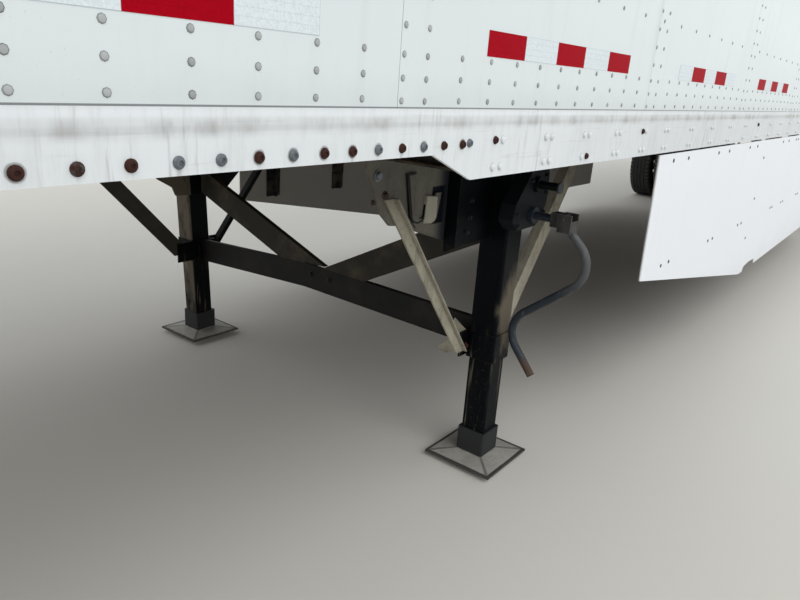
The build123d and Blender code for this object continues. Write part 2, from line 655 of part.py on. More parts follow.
def slant_brace(brace, flange_behind):
    """Angle section with level ends, its flange along the rear or the front edge."""
    (d0, z0), (d1, z1) = brace["low"], brace["high"]
    sine = abs(z1 - z0) / math.hypot(d1 - d0, z1 - z0)
    half = brace["width"] / 2 / sine
    skin = BRACE_SKIN / sine
    face = brace["face"]
    outline = [(d0 - half, z0), (d0 + half, z0), (d1 + half, z1), (d1 - half, z1)]
    web = side_plate(outline, face, face + BRACE_SKIN)
    if flange_behind:
        outline = [(d0 + half - skin, z0), (d0 + half, z0), (d1 + half, z1), (d1 + half - skin, z1)]
        return web + side_plate(outline, face, face + brace["flange"])
    outline = [(d0 - half, z0), (d0 - half + skin, z0), (d1 - half + skin, z1), (d1 - half, z1)]
    return web + side_plate(outline, face + BRACE_SKIN - brace["flange"], face + BRACE_SKIN)


def leg_braces(side):
    """Fore and aft braces of one leg."""
    sign = LEG_SIDES[side]["sign"]
    fore = slant_brace(SLANT_BRACES[side]["fore"], True)
    spec = SLANT_BRACES[side]["aft"]
    aft = slant_brace(spec, False)
    collar_rear = LEG_BEHIND + COLLAR / 2
    face = spec["face"]
    top = DECK_TOP - DECK_THICK - BEAM_DEPTH
    if sign > 0:
        aft -= block(back(collar_rear), back(LEG_BEHIND - COLLAR), face - COLLAR, face + COLLAR,
                     COLLAR_BOTTOM - COLLAR, top)
        aft += block(back(spec["high"][0] - 40), back(AFT_BRACE_END), face, face + BRACE_SKIN, top - 8, top)
        collar_front = LEG_BEHIND - COLLAR / 2
        tab = cross_plate([(713, 434), (761, 470), (787, 573), (BEAM_END_OUT, 541), (BEAM_END_OUT, 500),
                           (801, 449), (766, 424)], back(collar_front), back(collar_front - BRACE_SKIN))
        return [fore, aft, tab]
    foot = block(back(LEG_BEHIND), back(spec["low"][0] + 50), face, face + BRACE_SKIN, 508, 536)
    aft += foot - leaning(block(back(collar_rear), back(LEG_BEHIND - COLLAR), face - COLLAR, face + COLLAR,
                                COLLAR_BOTTOM - 60, top), LEG_SIDES[side])
    return [mirror(fore, Plane.XZ), mirror(aft, Plane.XZ)]


def hanger_plate():
    """Plate inboard of the rail that carries the fore brace, with its window, for the road side."""
    top = DECK_TOP - DECK_THICK - BEAM_DEPTH
    plate = side_plate([(2916, top), (2916, 1184), (2985, 1049), (3032, 1007), (3076, 1001), (HANGER_REAR, 914),
                        (HANGER_REAR, top)], HANGER_FACE, GUSSET_OUT)
    plate -= block(back(WINDOW_FRONT), back(WINDOW_REAR), HANGER_FACE - 1, GUSSET_OUT + 1,
                   WINDOW_FOOT, WINDOW_HEAD)
    hook = [(3108, 1152), (3136, 1152), (3150, 1030), (3172, 1012), (3212, 1012), (3232, 1030), (3252, 1086),
            (3284, 1086), (3270, 1020), (3236, 988), (3160, 984), (3140, 1003)]
    return plate + side_plate(hook, GUSSET_OUT, GUSSET_OUT + BRACE_SKIN)


def gear_housing():
    """Gear case on the outer face of the road side leg, with its upper stub shaft."""
    y0 = LEG_OUT + LEG_TUBE / 2
    outline = [(LEG_BEHIND + behind, SHAFT_Z + rise) for behind, rise in GEARBOX_OUTLINE]
    case = side_plate(outline, y0, y0 + GEARBOX_DEPTH)
    case = fillet(case.edges().filter_by(Axis.Y), GEARBOX_CORNER)
    y1 = y0 + GEARBOX_DEPTH
    x = back(LEG_BEHIND + STUB_BEHIND)
    stub = cylinder_y(SHAFT_RADIUS, x, y1, y1 + STUB_LENGTH, STUB_Z)
    washer = cylinder_y(STUB_WASHER, x, y1 + STUB_LENGTH - 6, y1 + STUB_LENGTH, STUB_Z)
    boss = cylinder_y(SHAFT_RADIUS + 14, x, y1, y1 + 14, STUB_Z)
    return case + stub + washer + boss


def cross_shaft():
    """Shaft from leg to leg."""
    reach = LEG_OUT - LEG_TUBE / 2
    return cylinder_y(SHAFT_RADIUS, back(LEG_BEHIND + STUB_BEHIND), -reach, reach, STUB_Z)


def crank():
    """Input shaft, clevis and the folded handle that hangs from it."""
    x = back(LEG_BEHIND)
    y0 = LEG_OUT + LEG_TUBE / 2 + GEARBOX_DEPTH
    shaft = cylinder_y(SHAFT_RADIUS, x, y0, CLEVIS_OUT + 4, SHAFT_Z)
    shaft += cylinder_y(SHAFT_RADIUS + 14, x, y0, y0 + 14, SHAFT_Z)
    half = CLEVIS_WIDTH / 2
    core = block(x - half, x + half, CLEVIS_OUT, CLEVIS_OUT + CLEVIS_LENGTH, SHAFT_Z - half, SHAFT_Z + half)
    path = FilletPolyline(*[(x, y, z) for y, z in CRANK_ROUTE], radius=CRANK_BEND)
    tube = sweep(Plane(origin=path @ 0, z_dir=path % 0) * Circle(CRANK_TUBE / 2), path=path)
    cheeks = None
    for sign in (-1, 1):
        x0 = x + sign * half
        cheek = block(x0, x0 + sign * CLEVIS_CHEEK, CLEVIS_OUT + 30, CLEVIS_OUT + 78,
                      SHAFT_Z - 36, SHAFT_Z + 26)
        cheeks = cheek if cheeks is None else cheeks + cheek
    bridge = block(x - half, x + half, CLEVIS_OUT + 72, CLEVIS_OUT + 78, SHAFT_Z - 36, SHAFT_Z + 4)
    return shaft + core + tube + cheeks + bridge


def skirt_panels(row):
    """Panels of one side skirt."""
    top = RAIL_DEEP_BOTTOM - SKIRT_GAP
    y_out = HALF_WIDTH - SKIRT_INSET
    seam_a, seam_b = SKIRT_SEAMS
    gap = PANEL_GAP / 2
    slope = (row["knee_z"] - row["front_foot_z"]) / (row["knee"] - row["front_foot"])
    z_a = row["front_foot_z"] + slope * (seam_a - row["front_foot"])
    outlines = (
        [(row["front_top"], top), (seam_a - gap, top), (seam_a - gap, z_a),
         (row["front_foot"], row["front_foot_z"])],
        [(seam_a + gap, top), (seam_b - gap, top), (seam_b - gap, row["foot_z"]), *row["torn"],
         (row["knee"], row["knee_z"]), (seam_a + gap, z_a)],
        [(seam_b + gap, top), (SKIRT_REAR, top), (SKIRT_REAR, row["foot_z"]), (seam_b + gap, row["foot_z"])],
    )
    panels = [side_plate(outline, y_out - SKIRT_THICK, y_out) for outline in outlines]
    return panels if row["sign"] > 0 else [mirror(panel, Plane.XZ) for panel in panels]


def skirt_struts():
    """Upright posts behind one skirt, lapped on the rail between the deck beams."""
    y_out = HALF_WIDTH - RAIL_THICK
    struts = []
    place = CLOSE_BEAM_SECOND + (CLOSE_BEAMS - 1) * CLOSE_BEAM_PITCH + 1.5 * BEAM_PITCH
    while place < SKIRT_REAR - STRUT_WIDTH:
        x = back(place)
        inner = y_out - STRUT_THICK
        head = RAIL_DEEP_BOTTOM + STRUT_LAP
        post = block(x - STRUT_WIDTH / 2, x + STRUT_WIDTH / 2, inner, y_out, STRUT_FOOT, head)
        rib = block(x - STRUT_THICK / 2, x + STRUT_THICK / 2, inner - STRUT_RIB, inner, STRUT_FOOT, head)
        struts.append(post + rib)
        place += 2 * BEAM_PITCH
    return struts


def air_tank():
    """Air tank hung between two deck beams by two strap plates."""
    x = back(TANK_BEHIND)
    top = DECK_TOP - DECK_THICK - BEAM_DEPTH
    z = top - TANK_DROP
    dome = 40.0
    half = TANK_LENGTH / 2
    profile = [(-half, 0), (-half, TANK_RADIUS * 0.6), (dome - half, TANK_RADIUS), (half - dome, TANK_RADIUS),
               (half, TANK_RADIUS * 0.6), (half, 0)]
    tank = Pos(x, 0, z) * ring_y(profile)
    beams = [place for place in cross_beam_places() if abs(place - TANK_BEHIND) < BEAM_PITCH]
    for sign in (-1, 1):
        y = sign * TANK_STRAP_OUT
        front, rear = min(beams) - BEAM_FLANGE / 2, max(beams) + BEAM_FLANGE / 2
        low = [(TANK_BEHIND - TANK_RADIUS * 0.9, z), (TANK_BEHIND + TANK_RADIUS * 0.9, z)]
        tank += side_plate([(front, top), (rear, top), low[1], low[0]], y - TANK_STRAP / 2, y + TANK_STRAP / 2)
    return tank


def tyre(y):
    """Tyre ring about the wheel axis at this Y, centred on the origin otherwise."""
    half = TYRE_WIDTH / 2
    bead = half - TYRE_BEAD_INSET
    tread = half - 30
    shoulder = half - 4
    bulge = TYRE_RADIUS - 110
    heel = TYRE_BEAD_RADIUS + 12
    with BuildSketch() as section:
        with BuildLine():
            a = Line((-tread, TYRE_RADIUS), (tread, TYRE_RADIUS))
            b = ThreePointArc((tread, TYRE_RADIUS), (tread + 22, TYRE_RADIUS - 9), (shoulder, TYRE_RADIUS - 40))
            c = ThreePointArc((shoulder, TYRE_RADIUS - 40), (half, bulge), (bead, heel))
            d = Line((bead, heel), (bead, TYRE_BEAD_RADIUS))
            e = Line((bead, TYRE_BEAD_RADIUS), (-bead, TYRE_BEAD_RADIUS))
            f = Line((-bead, TYRE_BEAD_RADIUS), (-bead, heel))
            g = ThreePointArc((-bead, heel), (-half, bulge), (-shoulder, TYRE_RADIUS - 40))
            h = ThreePointArc((-shoulder, TYRE_RADIUS - 40), (-tread - 22, TYRE_RADIUS - 9),
                              (-tread, TYRE_RADIUS))
        make_face()
    ring = revolve(section.sketch, Axis.X)
    return Pos(0, y, 0) * Rot(0, 0, 90) * ring


def ring_y(points):
    """Solid of revolution about Y from (y, radius) points."""
    face = make_face(Polyline(*points, close=True))
    return Rot(0, 0, 90) * revolve(face, Axis.X)


def dual_wheel():
    """Two rims with their discs, the hub and the brake drum, for the road side."""
    bead = TYRE_WIDTH / 2 - TYRE_BEAD_INSET + 0.4
    half = bead + RIM_LIP
    solids = None
    for sign in (-1, 1):
        centre = DUAL_OUT + sign * DUAL_SPACING / 2
        inner = RIM_RADIUS - RIM_SKIN
        barrel = ring_y([(centre - half, inner + 6), (centre - half, RIM_LIP_RADIUS),
                         (centre - bead, RIM_LIP_RADIUS), (centre - bead, RIM_RADIUS),
                         (centre + bead, RIM_RADIUS), (centre + bead, RIM_LIP_RADIUS),
                         (centre + half, RIM_LIP_RADIUS), (centre + half, inner + 6),
                         (centre + half - 16, inner), (centre - half + 16, inner)])
        face = DUAL_OUT
        far = centre - sign * 40
        disc = ring_y([(face, DISC_HOLE_RADIUS - 20), (face, 172), (far - sign * 12, inner + 4),
                       (far, inner + 4), (face + sign * 12, 165), (face + sign * 12, DISC_HOLE_RADIUS - 20)])
        solids = barrel + disc if solids is None else solids + barrel + disc
    bore = SPINDLE_RADIUS + SPINDLE_CLEARANCE
    hub = ring_y([(DUAL_OUT - 130, bore), (DUAL_OUT - 130, HUB_RADIUS), (DUAL_OUT + 60, HUB_RADIUS),
                  (HUB_END_OUT - 20, 72), (HUB_END_OUT, 66), (HUB_END_OUT, 0), (HUB_END_OUT - 14, 0),
                  (HUB_END_OUT - 14, bore)])
    drum = ring_y([(DUAL_OUT - 24, HUB_RADIUS - 4), (DUAL_OUT - 24, DRUM_RADIUS - 10),
                   (DUAL_OUT - 40, DRUM_RADIUS), (DRUM_INNER_OUT, DRUM_RADIUS),
                   (DRUM_INNER_OUT, DRUM_RADIUS - 14), (DUAL_OUT - 46, DRUM_RADIUS - 14),
                   (DUAL_OUT - 46, HUB_RADIUS - 4)])
    wheel = solids + hub + drum
    for n in range(HAND_HOLES):
        angle = 2 * math.pi * n / HAND_HOLES
        wheel -= cylinder_y(HAND_HOLE_RADIUS, HAND_HOLE_CIRCLE * math.cos(angle),
                            DUAL_OUT - 130, DUAL_OUT + 130, HAND_HOLE_CIRCLE * math.sin(angle))
    return wheel


def axle_beam():
    """Axle tube with its spindles, about the wheel axis at the origin."""
    tube_reach = DUAL_OUT - 160
    beam = cylinder_y(AXLE_RADIUS, 0, -tube_reach, tube_reach, 0)
    spindle = cylinder_y(SPINDLE_RADIUS, 0, -(HUB_END_OUT - 16), HUB_END_OUT - 16, 0)
    axle = beam + spindle
    for sign in (-1, 1):
        y = sign * SPRING_OUT
        axle += block(-SPRING_SEAT / 2, SPRING_SEAT / 2, y - SPRING_WIDTH / 2, y + SPRING_WIDTH / 2,
                      0, AXLE_RADIUS + SPRING_SEAT_RISE)
        y = sign * CHAMBER_OUT
        x1 = -CHAMBER_BEHIND
        x0 = x1 - CHAMBER_LENGTH
        for radius, low, high in ((CHAMBER_RADIUS, x0, x1), (CHAMBER_BAND, x1 - 78, x1 - 60),
                                  (CHAMBER_BAND, x1 - 128, x1 - 110)):
            axle += Pos((low + high) / 2, y, CHAMBER_RISE) * Rot(0, 90, 0) * Cylinder(radius, high - low)
        axle += block(x1, x1 + 10, y - 62, y + 62, -10, CHAMBER_RISE + 50)
        axle += block(x1, 0, y - 8, y + 8, -AXLE_RADIUS * 0.7, AXLE_RADIUS * 0.9)
        axle += cylinder_y(CAM_TUBE_RADIUS, x1, y, sign * (DRUM_INNER_OUT - 12), -CAM_TUBE_RADIUS - 8)
        shield = sign * (DRUM_INNER_OUT - 16)
        axle += cylinder_y(DRUM_RADIUS - 20, 0, shield, shield + sign * 4, 0)
    return axle


def spring_pack(axle):
    """Leaf spring over one axle, between its hangers."""
    half = SPRING_HALF_LENGTH
    z0 = TYRE_RADIUS + AXLE_RADIUS + SPRING_SEAT_RISE
    with BuildSketch(Plane.XZ) as section:
        with BuildLine():
            a = Line((-SPRING_SEAT / 2, z0), (SPRING_SEAT / 2, z0))
            b = ThreePointArc((SPRING_SEAT / 2, z0), (half / 2, z0 + 16), (half, z0 + 50))
            c = Line((half, z0 + 50), (half, z0 + 66))
            d = ThreePointArc((half, z0 + 66), (half / 2, z0 + 44), (SPRING_SEAT / 2, z0 + 42))
            e = Line((SPRING_SEAT / 2, z0 + 42), (-SPRING_SEAT / 2, z0 + 42))
            f = ThreePointArc((-SPRING_SEAT / 2, z0 + 42), (-half / 2, z0 + 44), (-half, z0 + 66))
            g = Line((-half, z0 + 66), (-half, z0 + 50))
            h = ThreePointArc((-half, z0 + 50), (-half / 2, z0 + 16), (-SPRING_SEAT / 2, z0))
        make_face()
    leaf = extrude(section.sketch, SPRING_WIDTH / 2, both=True)
    return Pos(back(AXLES[axle]), SPRING_OUT, 0) * leaf


def slider():
    """Longitudinal rails of the bogie, with cross tubes and spring hangers."""
    top = DECK_TOP - DECK_THICK - BEAM_DEPTH
    frame = None
    for sign in (-1, 1):
        y = sign * SPRING_OUT
        rail = block(back(SLIDER_FRONT), back(SLIDER_REAR), y - SLIDER_WIDTH / 2, y + SLIDER_WIDTH / 2,
                     SLIDER_BOTTOM, top)
        frame = rail if frame is None else frame + rail
        middle = (AXLES["front"] + AXLES["rear"]) / 2
        spread = AXLES["rear"] - AXLES["front"]
        spring_top = TYRE_RADIUS + AXLE_RADIUS + SPRING_SEAT_RISE + 66
        for place in (middle - spread, middle, middle + spread):
            outline = [(place - 90, SLIDER_BOTTOM), (place + 90, SLIDER_BOTTOM),
                       (place + 60, SPRING_HANGER_FOOT), (place - 60, SPRING_HANGER_FOOT)]
            seat = SPRING_WIDTH / 2 + HANGER_CHEEK_GAP
            for face in (y - seat - HANGER_CHEEK, y + seat):
                frame += side_plate(outline, face, face + HANGER_CHEEK)
            frame += block(back(place - 66), back(place + 66), y - seat, y + seat, spring_top, spring_top + 60)
    for place in (SLIDER_FRONT + 120, AXLES["front"] - CROSS_TUBE_OFF, middle, AXLES["rear"] + CROSS_TUBE_OFF,
                  SLIDER_REAR - 120):
        frame += block(back(place - 40), back(place + 40), -SPRING_OUT, SPRING_OUT,
                       SLIDER_BOTTOM + 20, top - 20)
    return frame


def rear_frame():
    """Welded frame round the doors: posts, header and sill."""
    x0 = back(LENGTH)
    x1 = back(LENGTH - REAR_DEPTH)
    inner = HALF_WIDTH - REAR_POST
    frame = block(x0, x1, -HALF_WIDTH, HALF_WIDTH, RAIL_DEEP_BOTTOM, HEIGHT)
    frame -= block(x0 - 1, x1 + 1, -inner, inner, SILL_TOP, HEADER_BOTTOM)
    return frame


def hinge_heights():
    """Middle heights of the door hinges."""
    low = SILL_TOP + 180
    high = HEADER_BOTTOM - 180
    return [low + (high - low) * n / (HINGES - 1) for n in range(HINGES)]


def hinge_lugs():
    """Fixed halves of the hinges of one side, two lugs and a pin each."""
    x_rear = back(LENGTH)
    x_axis = x_rear - HINGE_AXIS_BEHIND
    solids = []
    for z in hinge_heights():
        half = HINGE_HEIGHT / 2 + HINGE_END_CLEARANCE
        pin = cylinder_z(HINGE_PIN_RADIUS, x_axis, HINGE_AXIS_OUT, z - half, z + half)
        for sign in (-1, 1):
            z0 = z + sign * half
            z1 = z0 + sign * HINGE_LUG
            lug = block(x_axis, x_rear, HINGE_AXIS_OUT - 13, HINGE_AXIS_OUT + 15, z0, z1)
            pin += lug + cylinder_z(HINGE_BARREL_RADIUS, x_axis, HINGE_AXIS_OUT, z0, z1)
        solids.append(pin)
    return solids


def door_leaf():
    """Door leaf of the road side."""
    x_out = back(LENGTH) - LEAF_PROUD
    edge = HALF_WIDTH - REAR_POST - LEAF_GAP
    return block(x_out, x_out + LEAF_THICK, LEAF_GAP / 2, edge, SILL_TOP + LEAF_GAP, HEADER_BOTTOM - LEAF_GAP)


def door_hardware():
    """Hinge straps, lock rods and handles of the road side leaf."""
    x_face = back(LENGTH) - LEAF_PROUD
    x_axis = back(LENGTH) - HINGE_AXIS_BEHIND
    solids = []
    strap = 8.0
    for z in hinge_heights():
        z0 = z - HINGE_HEIGHT / 2
        z1 = z + HINGE_HEIGHT / 2
        plate = block(x_face - strap, x_face, HINGE_AXIS_OUT - 230, HINGE_AXIS_OUT - 14, z0, z1)
        plate += block(x_axis, x_face, HINGE_AXIS_OUT - 24, HINGE_AXIS_OUT - 14, z0, z1)
        plate += block(x_axis - 5, x_axis + 5, HINGE_AXIS_OUT - 24, HINGE_AXIS_OUT, z0, z1)
        plate += cylinder_z(HINGE_BARREL_RADIUS, x_axis, HINGE_AXIS_OUT, z0, z1)
        plate -= cylinder_z(HINGE_PIN_RADIUS + HINGE_RUN_CLEARANCE, x_axis, HINGE_AXIS_OUT, z0 - 1, z1 + 1)
        solids.append(plate)
    middle = (SILL_TOP + HEADER_BOTTOM) / 2
    for reach in ROD_FROM_AXIS:
        y = HINGE_AXIS_OUT - reach
        x = x_face - ROD_STANDOFF
        rod = cylinder_z(ROD_RADIUS, x, y, SILL_TOP - ROD_REACH, HEADER_BOTTOM + ROD_REACH)
        for z in (SILL_TOP + 120, middle - ROD_BRACKET_SPACING / 2, middle + ROD_BRACKET_SPACING / 2,
                  HEADER_BOTTOM - 120):
            rod += block(x - ROD_RADIUS - 3, x_face, y - 20, y + 20, z - 22, z + 22)
        z = SILL_TOP + HANDLE_RISE
        rod += block(x - ROD_RADIUS, x - ROD_RADIUS + 10, y, y + HANDLE_LENGTH, z, z + HANDLE_HEIGHT)
        for z in (SILL_TOP - ROD_REACH, HEADER_BOTTOM + ROD_REACH - 40):
            rod += block(x - ROD_RADIUS - 4, x + ROD_RADIUS, y - ROD_RADIUS - 8, y + ROD_RADIUS + 8, z, z + 40)
        solids.append(rod)
    return solids


def underride_guard():
    """Bar and uprights below the rear sill."""
    x0 = back(LENGTH - 10)
    bar = block(x0, x0 + 100, -1120, 1120, 460, 560)
    for sign in (-1, 1):
        y = sign * 480
        bar += block(x0, x0 + 100, y - 50, y + 50, 560, RAIL_DEEP_BOTTOM)
    return bar


def rod_keepers():
    """Fixed pads under the ends of the lock rods, for the road side."""
    x = back(LENGTH)
    return [block(x - KEEPER_DEPTH, x, HINGE_AXIS_OUT - reach - KEEPER_WIDTH / 2,
                  HINGE_AXIS_OUT - reach + KEEPER_WIDTH / 2, z, z + 50)
            for reach in ROD_FROM_AXIS for z in (SILL_TOP - ROD_REACH - 5, HEADER_BOTTOM + ROD_REACH - 45)]


def dock_bumpers():
    """Rubber blocks on the rear sill."""
    x0 = back(LENGTH)
    return both(block(x0 - REAR_REACH, x0, 900, 1080, RAIL_DEEP_BOTTOM, RAIL_DEEP_BOTTOM + 70))


def lamps():
    """Tail and marker lamps."""
    pieces = []
    x0 = back(LENGTH)
    for y in (-150.0, 0.0, 150.0):
        z = HEADER_BOTTOM + MARKER_LIFT
        pieces.append(block(x0 - 14, x0, y - 45, y + 45, z - 15, z + 15))
    for y in LAMP_PLACES:
        pieces += both(Pos(x0 - 9, y, SILL_TOP - LAMP_DROP) * Rot(0, 90, 0) * Cylinder(LAMP_RADIUS, 18))
    length, height, proud = SIDE_MARKER
    for place in (SIDE_MARKER_FRONT, LENGTH / 2, LENGTH - SIDE_MARKER_BEFORE_TAIL):
        pieces += both(block(back(place - length / 2), back(place + length / 2), HALF_WIDTH, HALF_WIDTH + proud,
                             SIDE_MARKER_Z - height / 2, SIDE_MARKER_Z + height / 2))
    return pieces


def mud_flaps():
    """Rubber flaps behind the last wheels, hung from the next deck beam."""
    x = back(min(place for place in cross_beam_places() if place > SLIDER_REAR + 20))
    reach = (DUAL_SPACING + TYRE_WIDTH) / 2
    outer = min(DUAL_OUT + reach + FLAP_OVERHANG, HALF_WIDTH - RAIL_THICK)
    return both(block(x - 5, x + 5, DUAL_OUT - reach, outer, FLAP_FOOT, RAIL_DEEP_BOTTOM))


def write(name, solids):
    """Write one node's solids."""
    if not isinstance(solids, list):
        solids = [solids]
    flat = [solid for shape in solids for solid in shape.solids()]
    shape = flat[0] if len(flat) == 1 else Compound(children=flat)
    export_step(shape, f"parts/{name}.step")


def main():
    os.makedirs("parts", exist_ok=True)
    for name, sign in (("left", 1), ("right", -1)):
        write(f"side_wall_{name}", wall_panels() if sign > 0 else [mirror(s, Plane.XZ) for s in wall_panels()])
    write("wall_posts", both(*wall_posts()))
    write("bottom_rails", both(bottom_rail()))
    write("top_rails", both(top_rail()))
    reach = HALF_WIDTH - 2
    write("roof_sheet", block(back(CORNER_POST), back(LENGTH - REAR_DEPTH), -reach, reach,
                              HEIGHT - ROOF_THICK, HEIGHT))
    write("roof_bows", roof_bows())
    write("front_frame", front_frame())
    write("front_wall", front_wall())
    write("deck_boards", deck())
    write("deck_beams", cross_beams())
    write("coupler_frame", coupler_frame())
    write("coupler_plate", coupler_plate())
    write("kingpin", kingpin())
    write("nose_connectors", connectors())
    for side, row in LEG_SIDES.items():
        write(f"leg_tube_{side}", on_side(leg_tube(row), row))
        write(f"leg_brace_{side}", leg_braces(side))
    write("cross_beam", [cross_beam_half(row) for row in LEG_SIDES.values()])
    write("inner_legs", [on_side(inner_leg(row), row) for row in LEG_SIDES.values()])
    write("sand_shoes", [on_side(sand_shoe(row), row) for row in LEG_SIDES.values()])
    write("leg_hangers", both(hanger_plate()))
    write("knee_braces", [knee_brace(row) for row in LEG_SIDES.values()])
    write("gear_housing", gear_housing())
    write("cross_shaft", cross_shaft())
    write("crank", crank())
    for side, row in SKIRTS.items():
        write(f"side_skirt_{side}", skirt_panels(row))
    write("skirt_struts", both(*skirt_struts()))
    write("air_tank", air_tank())
    write("bogie_frame", slider())
    write("leaf_springs", both(spring_pack("front"), spring_pack("rear")))
    for axle, place in AXLES.items():
        centre = Pos(back(place), 0, TYRE_RADIUS)
        write(f"axle_{axle}", centre * axle_beam())
        for name, sign in (("left", 1), ("right", -1)):
            wheel = dual_wheel()
            if sign < 0:
                wheel = mirror(wheel, Plane.XZ)
            write(f"wheel_{axle}_{name}", centre * wheel)
            write(f"tyres_{axle}_{name}", [centre * tyre(sign * (DUAL_OUT + step * DUAL_SPACING / 2))
                                           for step in (-1, 1)])
    write("rear_frame", rear_frame())
    write("hinge_lugs", both(*hinge_lugs()) + both(*rod_keepers()))
    write("door_left", door_leaf())
    write("door_right", mirror(door_leaf(), Plane.XZ))
    write("door_hardware_left", door_hardware())
    write("door_hardware_right", [mirror(s, Plane.XZ) for s in door_hardware()])
    write("underride_guard", underride_guard())
    write("dock_bumpers", dock_bumpers())
    write("lamps", lamps())
    write("mud_flaps", mud_flaps())


main()
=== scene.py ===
"""Looks of a box semi trailer standing on its landing gear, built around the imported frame.

Metres. +X points to the nose, +Y to the road side, +Z up, and the ground is z = 0.
"""
import math

import bpy
import numpy as np
from mathutils import Matrix, Vector


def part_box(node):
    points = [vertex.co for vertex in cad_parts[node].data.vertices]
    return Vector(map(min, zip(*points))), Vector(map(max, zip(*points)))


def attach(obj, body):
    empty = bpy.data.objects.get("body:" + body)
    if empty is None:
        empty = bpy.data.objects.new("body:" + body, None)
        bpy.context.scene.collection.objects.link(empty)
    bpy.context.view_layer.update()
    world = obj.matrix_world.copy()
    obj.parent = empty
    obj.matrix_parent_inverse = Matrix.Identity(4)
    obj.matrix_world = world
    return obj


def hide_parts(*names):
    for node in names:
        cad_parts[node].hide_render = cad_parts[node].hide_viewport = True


bl_info = {
    "name": "Box Semi Trailer",
    "version": (1, 0, 0),
    "blender": (4, 5, 0),
    "location": "View3D > Sidebar > Trailer",
    "description": "Rivets, tape, tyres, fittings and finishes of a box semi trailer",
    "category": "Object",
}

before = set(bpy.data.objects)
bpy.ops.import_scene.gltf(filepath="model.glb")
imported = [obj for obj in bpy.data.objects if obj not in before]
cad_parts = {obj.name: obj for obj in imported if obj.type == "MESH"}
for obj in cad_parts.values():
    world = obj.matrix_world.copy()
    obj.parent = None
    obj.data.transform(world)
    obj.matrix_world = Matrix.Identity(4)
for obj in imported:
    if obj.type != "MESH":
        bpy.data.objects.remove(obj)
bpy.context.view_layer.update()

# Places that the frame gives
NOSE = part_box("front_frame")[1].x
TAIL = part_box("rear_frame")[0].x
LENGTH = NOSE - TAIL
HALF_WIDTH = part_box("bottom_rails")[1].y
WALL_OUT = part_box("side_wall_left")[1].y
ROOF_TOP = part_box("roof_sheet")[1].z
TOP_RAIL_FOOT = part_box("top_rails")[0].z
DOOR_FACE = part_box("door_left")[0].x
SKIRT_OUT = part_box("side_skirt_left")[1].y
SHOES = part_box("sand_shoes")
LEG_X = (SHOES[0].x + SHOES[1].x) / 2

# Heights of the shoe's plate, the row of bolts, the deck's top and the rail's top
SHOE_TOP = 0.038
BOLT_HEIGHT = 1.307
FLOOR_TOP = 1.372
RAIL_TOP = 1.377

# Distances behind the nose of the kingpin, of a bolt in the row, of the notch and of the panel joints
KINGPIN = 0.914
ROW_START = 1.817
NOTCH = 2.735
NOSE_JOINT = 0.049
PANEL_JOINTS = 2.4727 + 1.28535 * np.arange(-1, 11)

# Rivet columns at a joint, as distances behind it
SEAM_FRONT = 0.011
SEAM_REAR = 0.081

# Spacing along the trailer of the rail's bolts, the deck beams, the skirt struts and the roof bows
BOLT_PITCH = 0.0672
BEAM_PITCH = 0.3048
STRUT_PITCH = 0.6096
BOW_PITCH = 0.6096

# Distances of the legs and of the drums' faces from the middle, and the slope of the leaning kerb side leg
LEG_OUT = 0.907
DRUM_FACE = 0.960
FAR_LEAN = math.tan(math.radians(2.4))

# Sides with the sign of their y, axles and the direction up
SIDES = (("left", 1.0), ("right", -1.0))
AXLES = ("front", "rear")
UP = (0.0, 0.0, 1.0)


def back(distance):
    """X of a place this far behind the nose."""
    return NOSE - distance


def every_pair(first, second):
    """Rows of two: every value of the first list with every value of the second."""
    return np.stack(np.meshgrid(first, second), -1).reshape(-1, 2)


def side_spots(places, y):
    """Points in space, all at one y, from pairs of a distance behind the nose and a height."""
    places = np.asarray(places, float)
    return np.column_stack([back(places[:, 0]), np.full(len(places), y), places[:, 1]])


def circle_spots(centre, radius, count, y, turn=0.0):
    """Points evenly spaced round a circle at one y: at angle a the centre's x + r cos a and z + r sin a."""
    angle = turn + np.arange(count) * 2 * math.pi / count
    return np.column_stack([centre.x + radius * np.cos(angle), np.full(count, y),
                            centre.z + radius * np.sin(angle)])


def scaled(tone, factor):
    """A colour with each channel times the factor."""
    return tuple(channel * factor for channel in tone)


# Shapes


class Form:
    """Points of a surface and tables of its faces, one table for each number of corners."""

    def __init__(self, points, tables):
        self.points = np.asarray(points, float).reshape(-1, 3)
        self.tables = [np.asarray(table, int) for table in tables if len(table)]

    def __add__(self, other):
        """Both surfaces in one: the other's faces count their points after this surface's points."""
        later = [table + len(self.points) for table in other.tables]
        return Form(np.vstack([self.points, other.points]), self.tables + later)

    def copied(self, places, axes=np.eye(3)):
        """Copies at every place: each point is its place plus the point times the rows of axes."""
        places = np.asarray(places, float).reshape(-1, 3)
        spread = places[:, None, :] + (self.points @ np.asarray(axes, float))[None]
        steps = np.arange(len(places))[:, None, None] * len(self.points)
        tables = [(table[None] + steps).reshape(-1, table.shape[1]) for table in self.tables]
        return Form(spread.reshape(-1, 3), tables)

    def moved(self, points, turned_over):
        """The same faces on other points, with their corners in the other order where the surface is turned
        over."""
        return Form(points, [table[:, ::-1] for table in self.tables] if turned_over else self.tables)

    def sided(self, sign):
        """The surface with each y times the sign, so as it is for +1 and on the other side for -1."""
        return self.moved(self.points * (1, sign, 1), sign < 0)


def together(forms):
    """Several surfaces in one."""
    whole = forms[0]
    for form in forms[1:]:
        whole = whole + form
    return whole


def grid_faces(rows, columns, round_rows=False, round_columns=False):
    """Four-cornered faces of a grid of points, row by row, closed round where asked."""
    i = np.arange(rows if round_rows else rows - 1)[:, None]
    j = np.arange(columns if round_columns else columns - 1)[None]
    i2, j2 = (i + 1) % rows, (j + 1) % columns
    corners = (i * columns + j, i * columns + j2, i2 * columns + j2, i2 * columns + j)
    return np.stack(np.broadcast_arrays(*corners), -1).reshape(-1, 4)


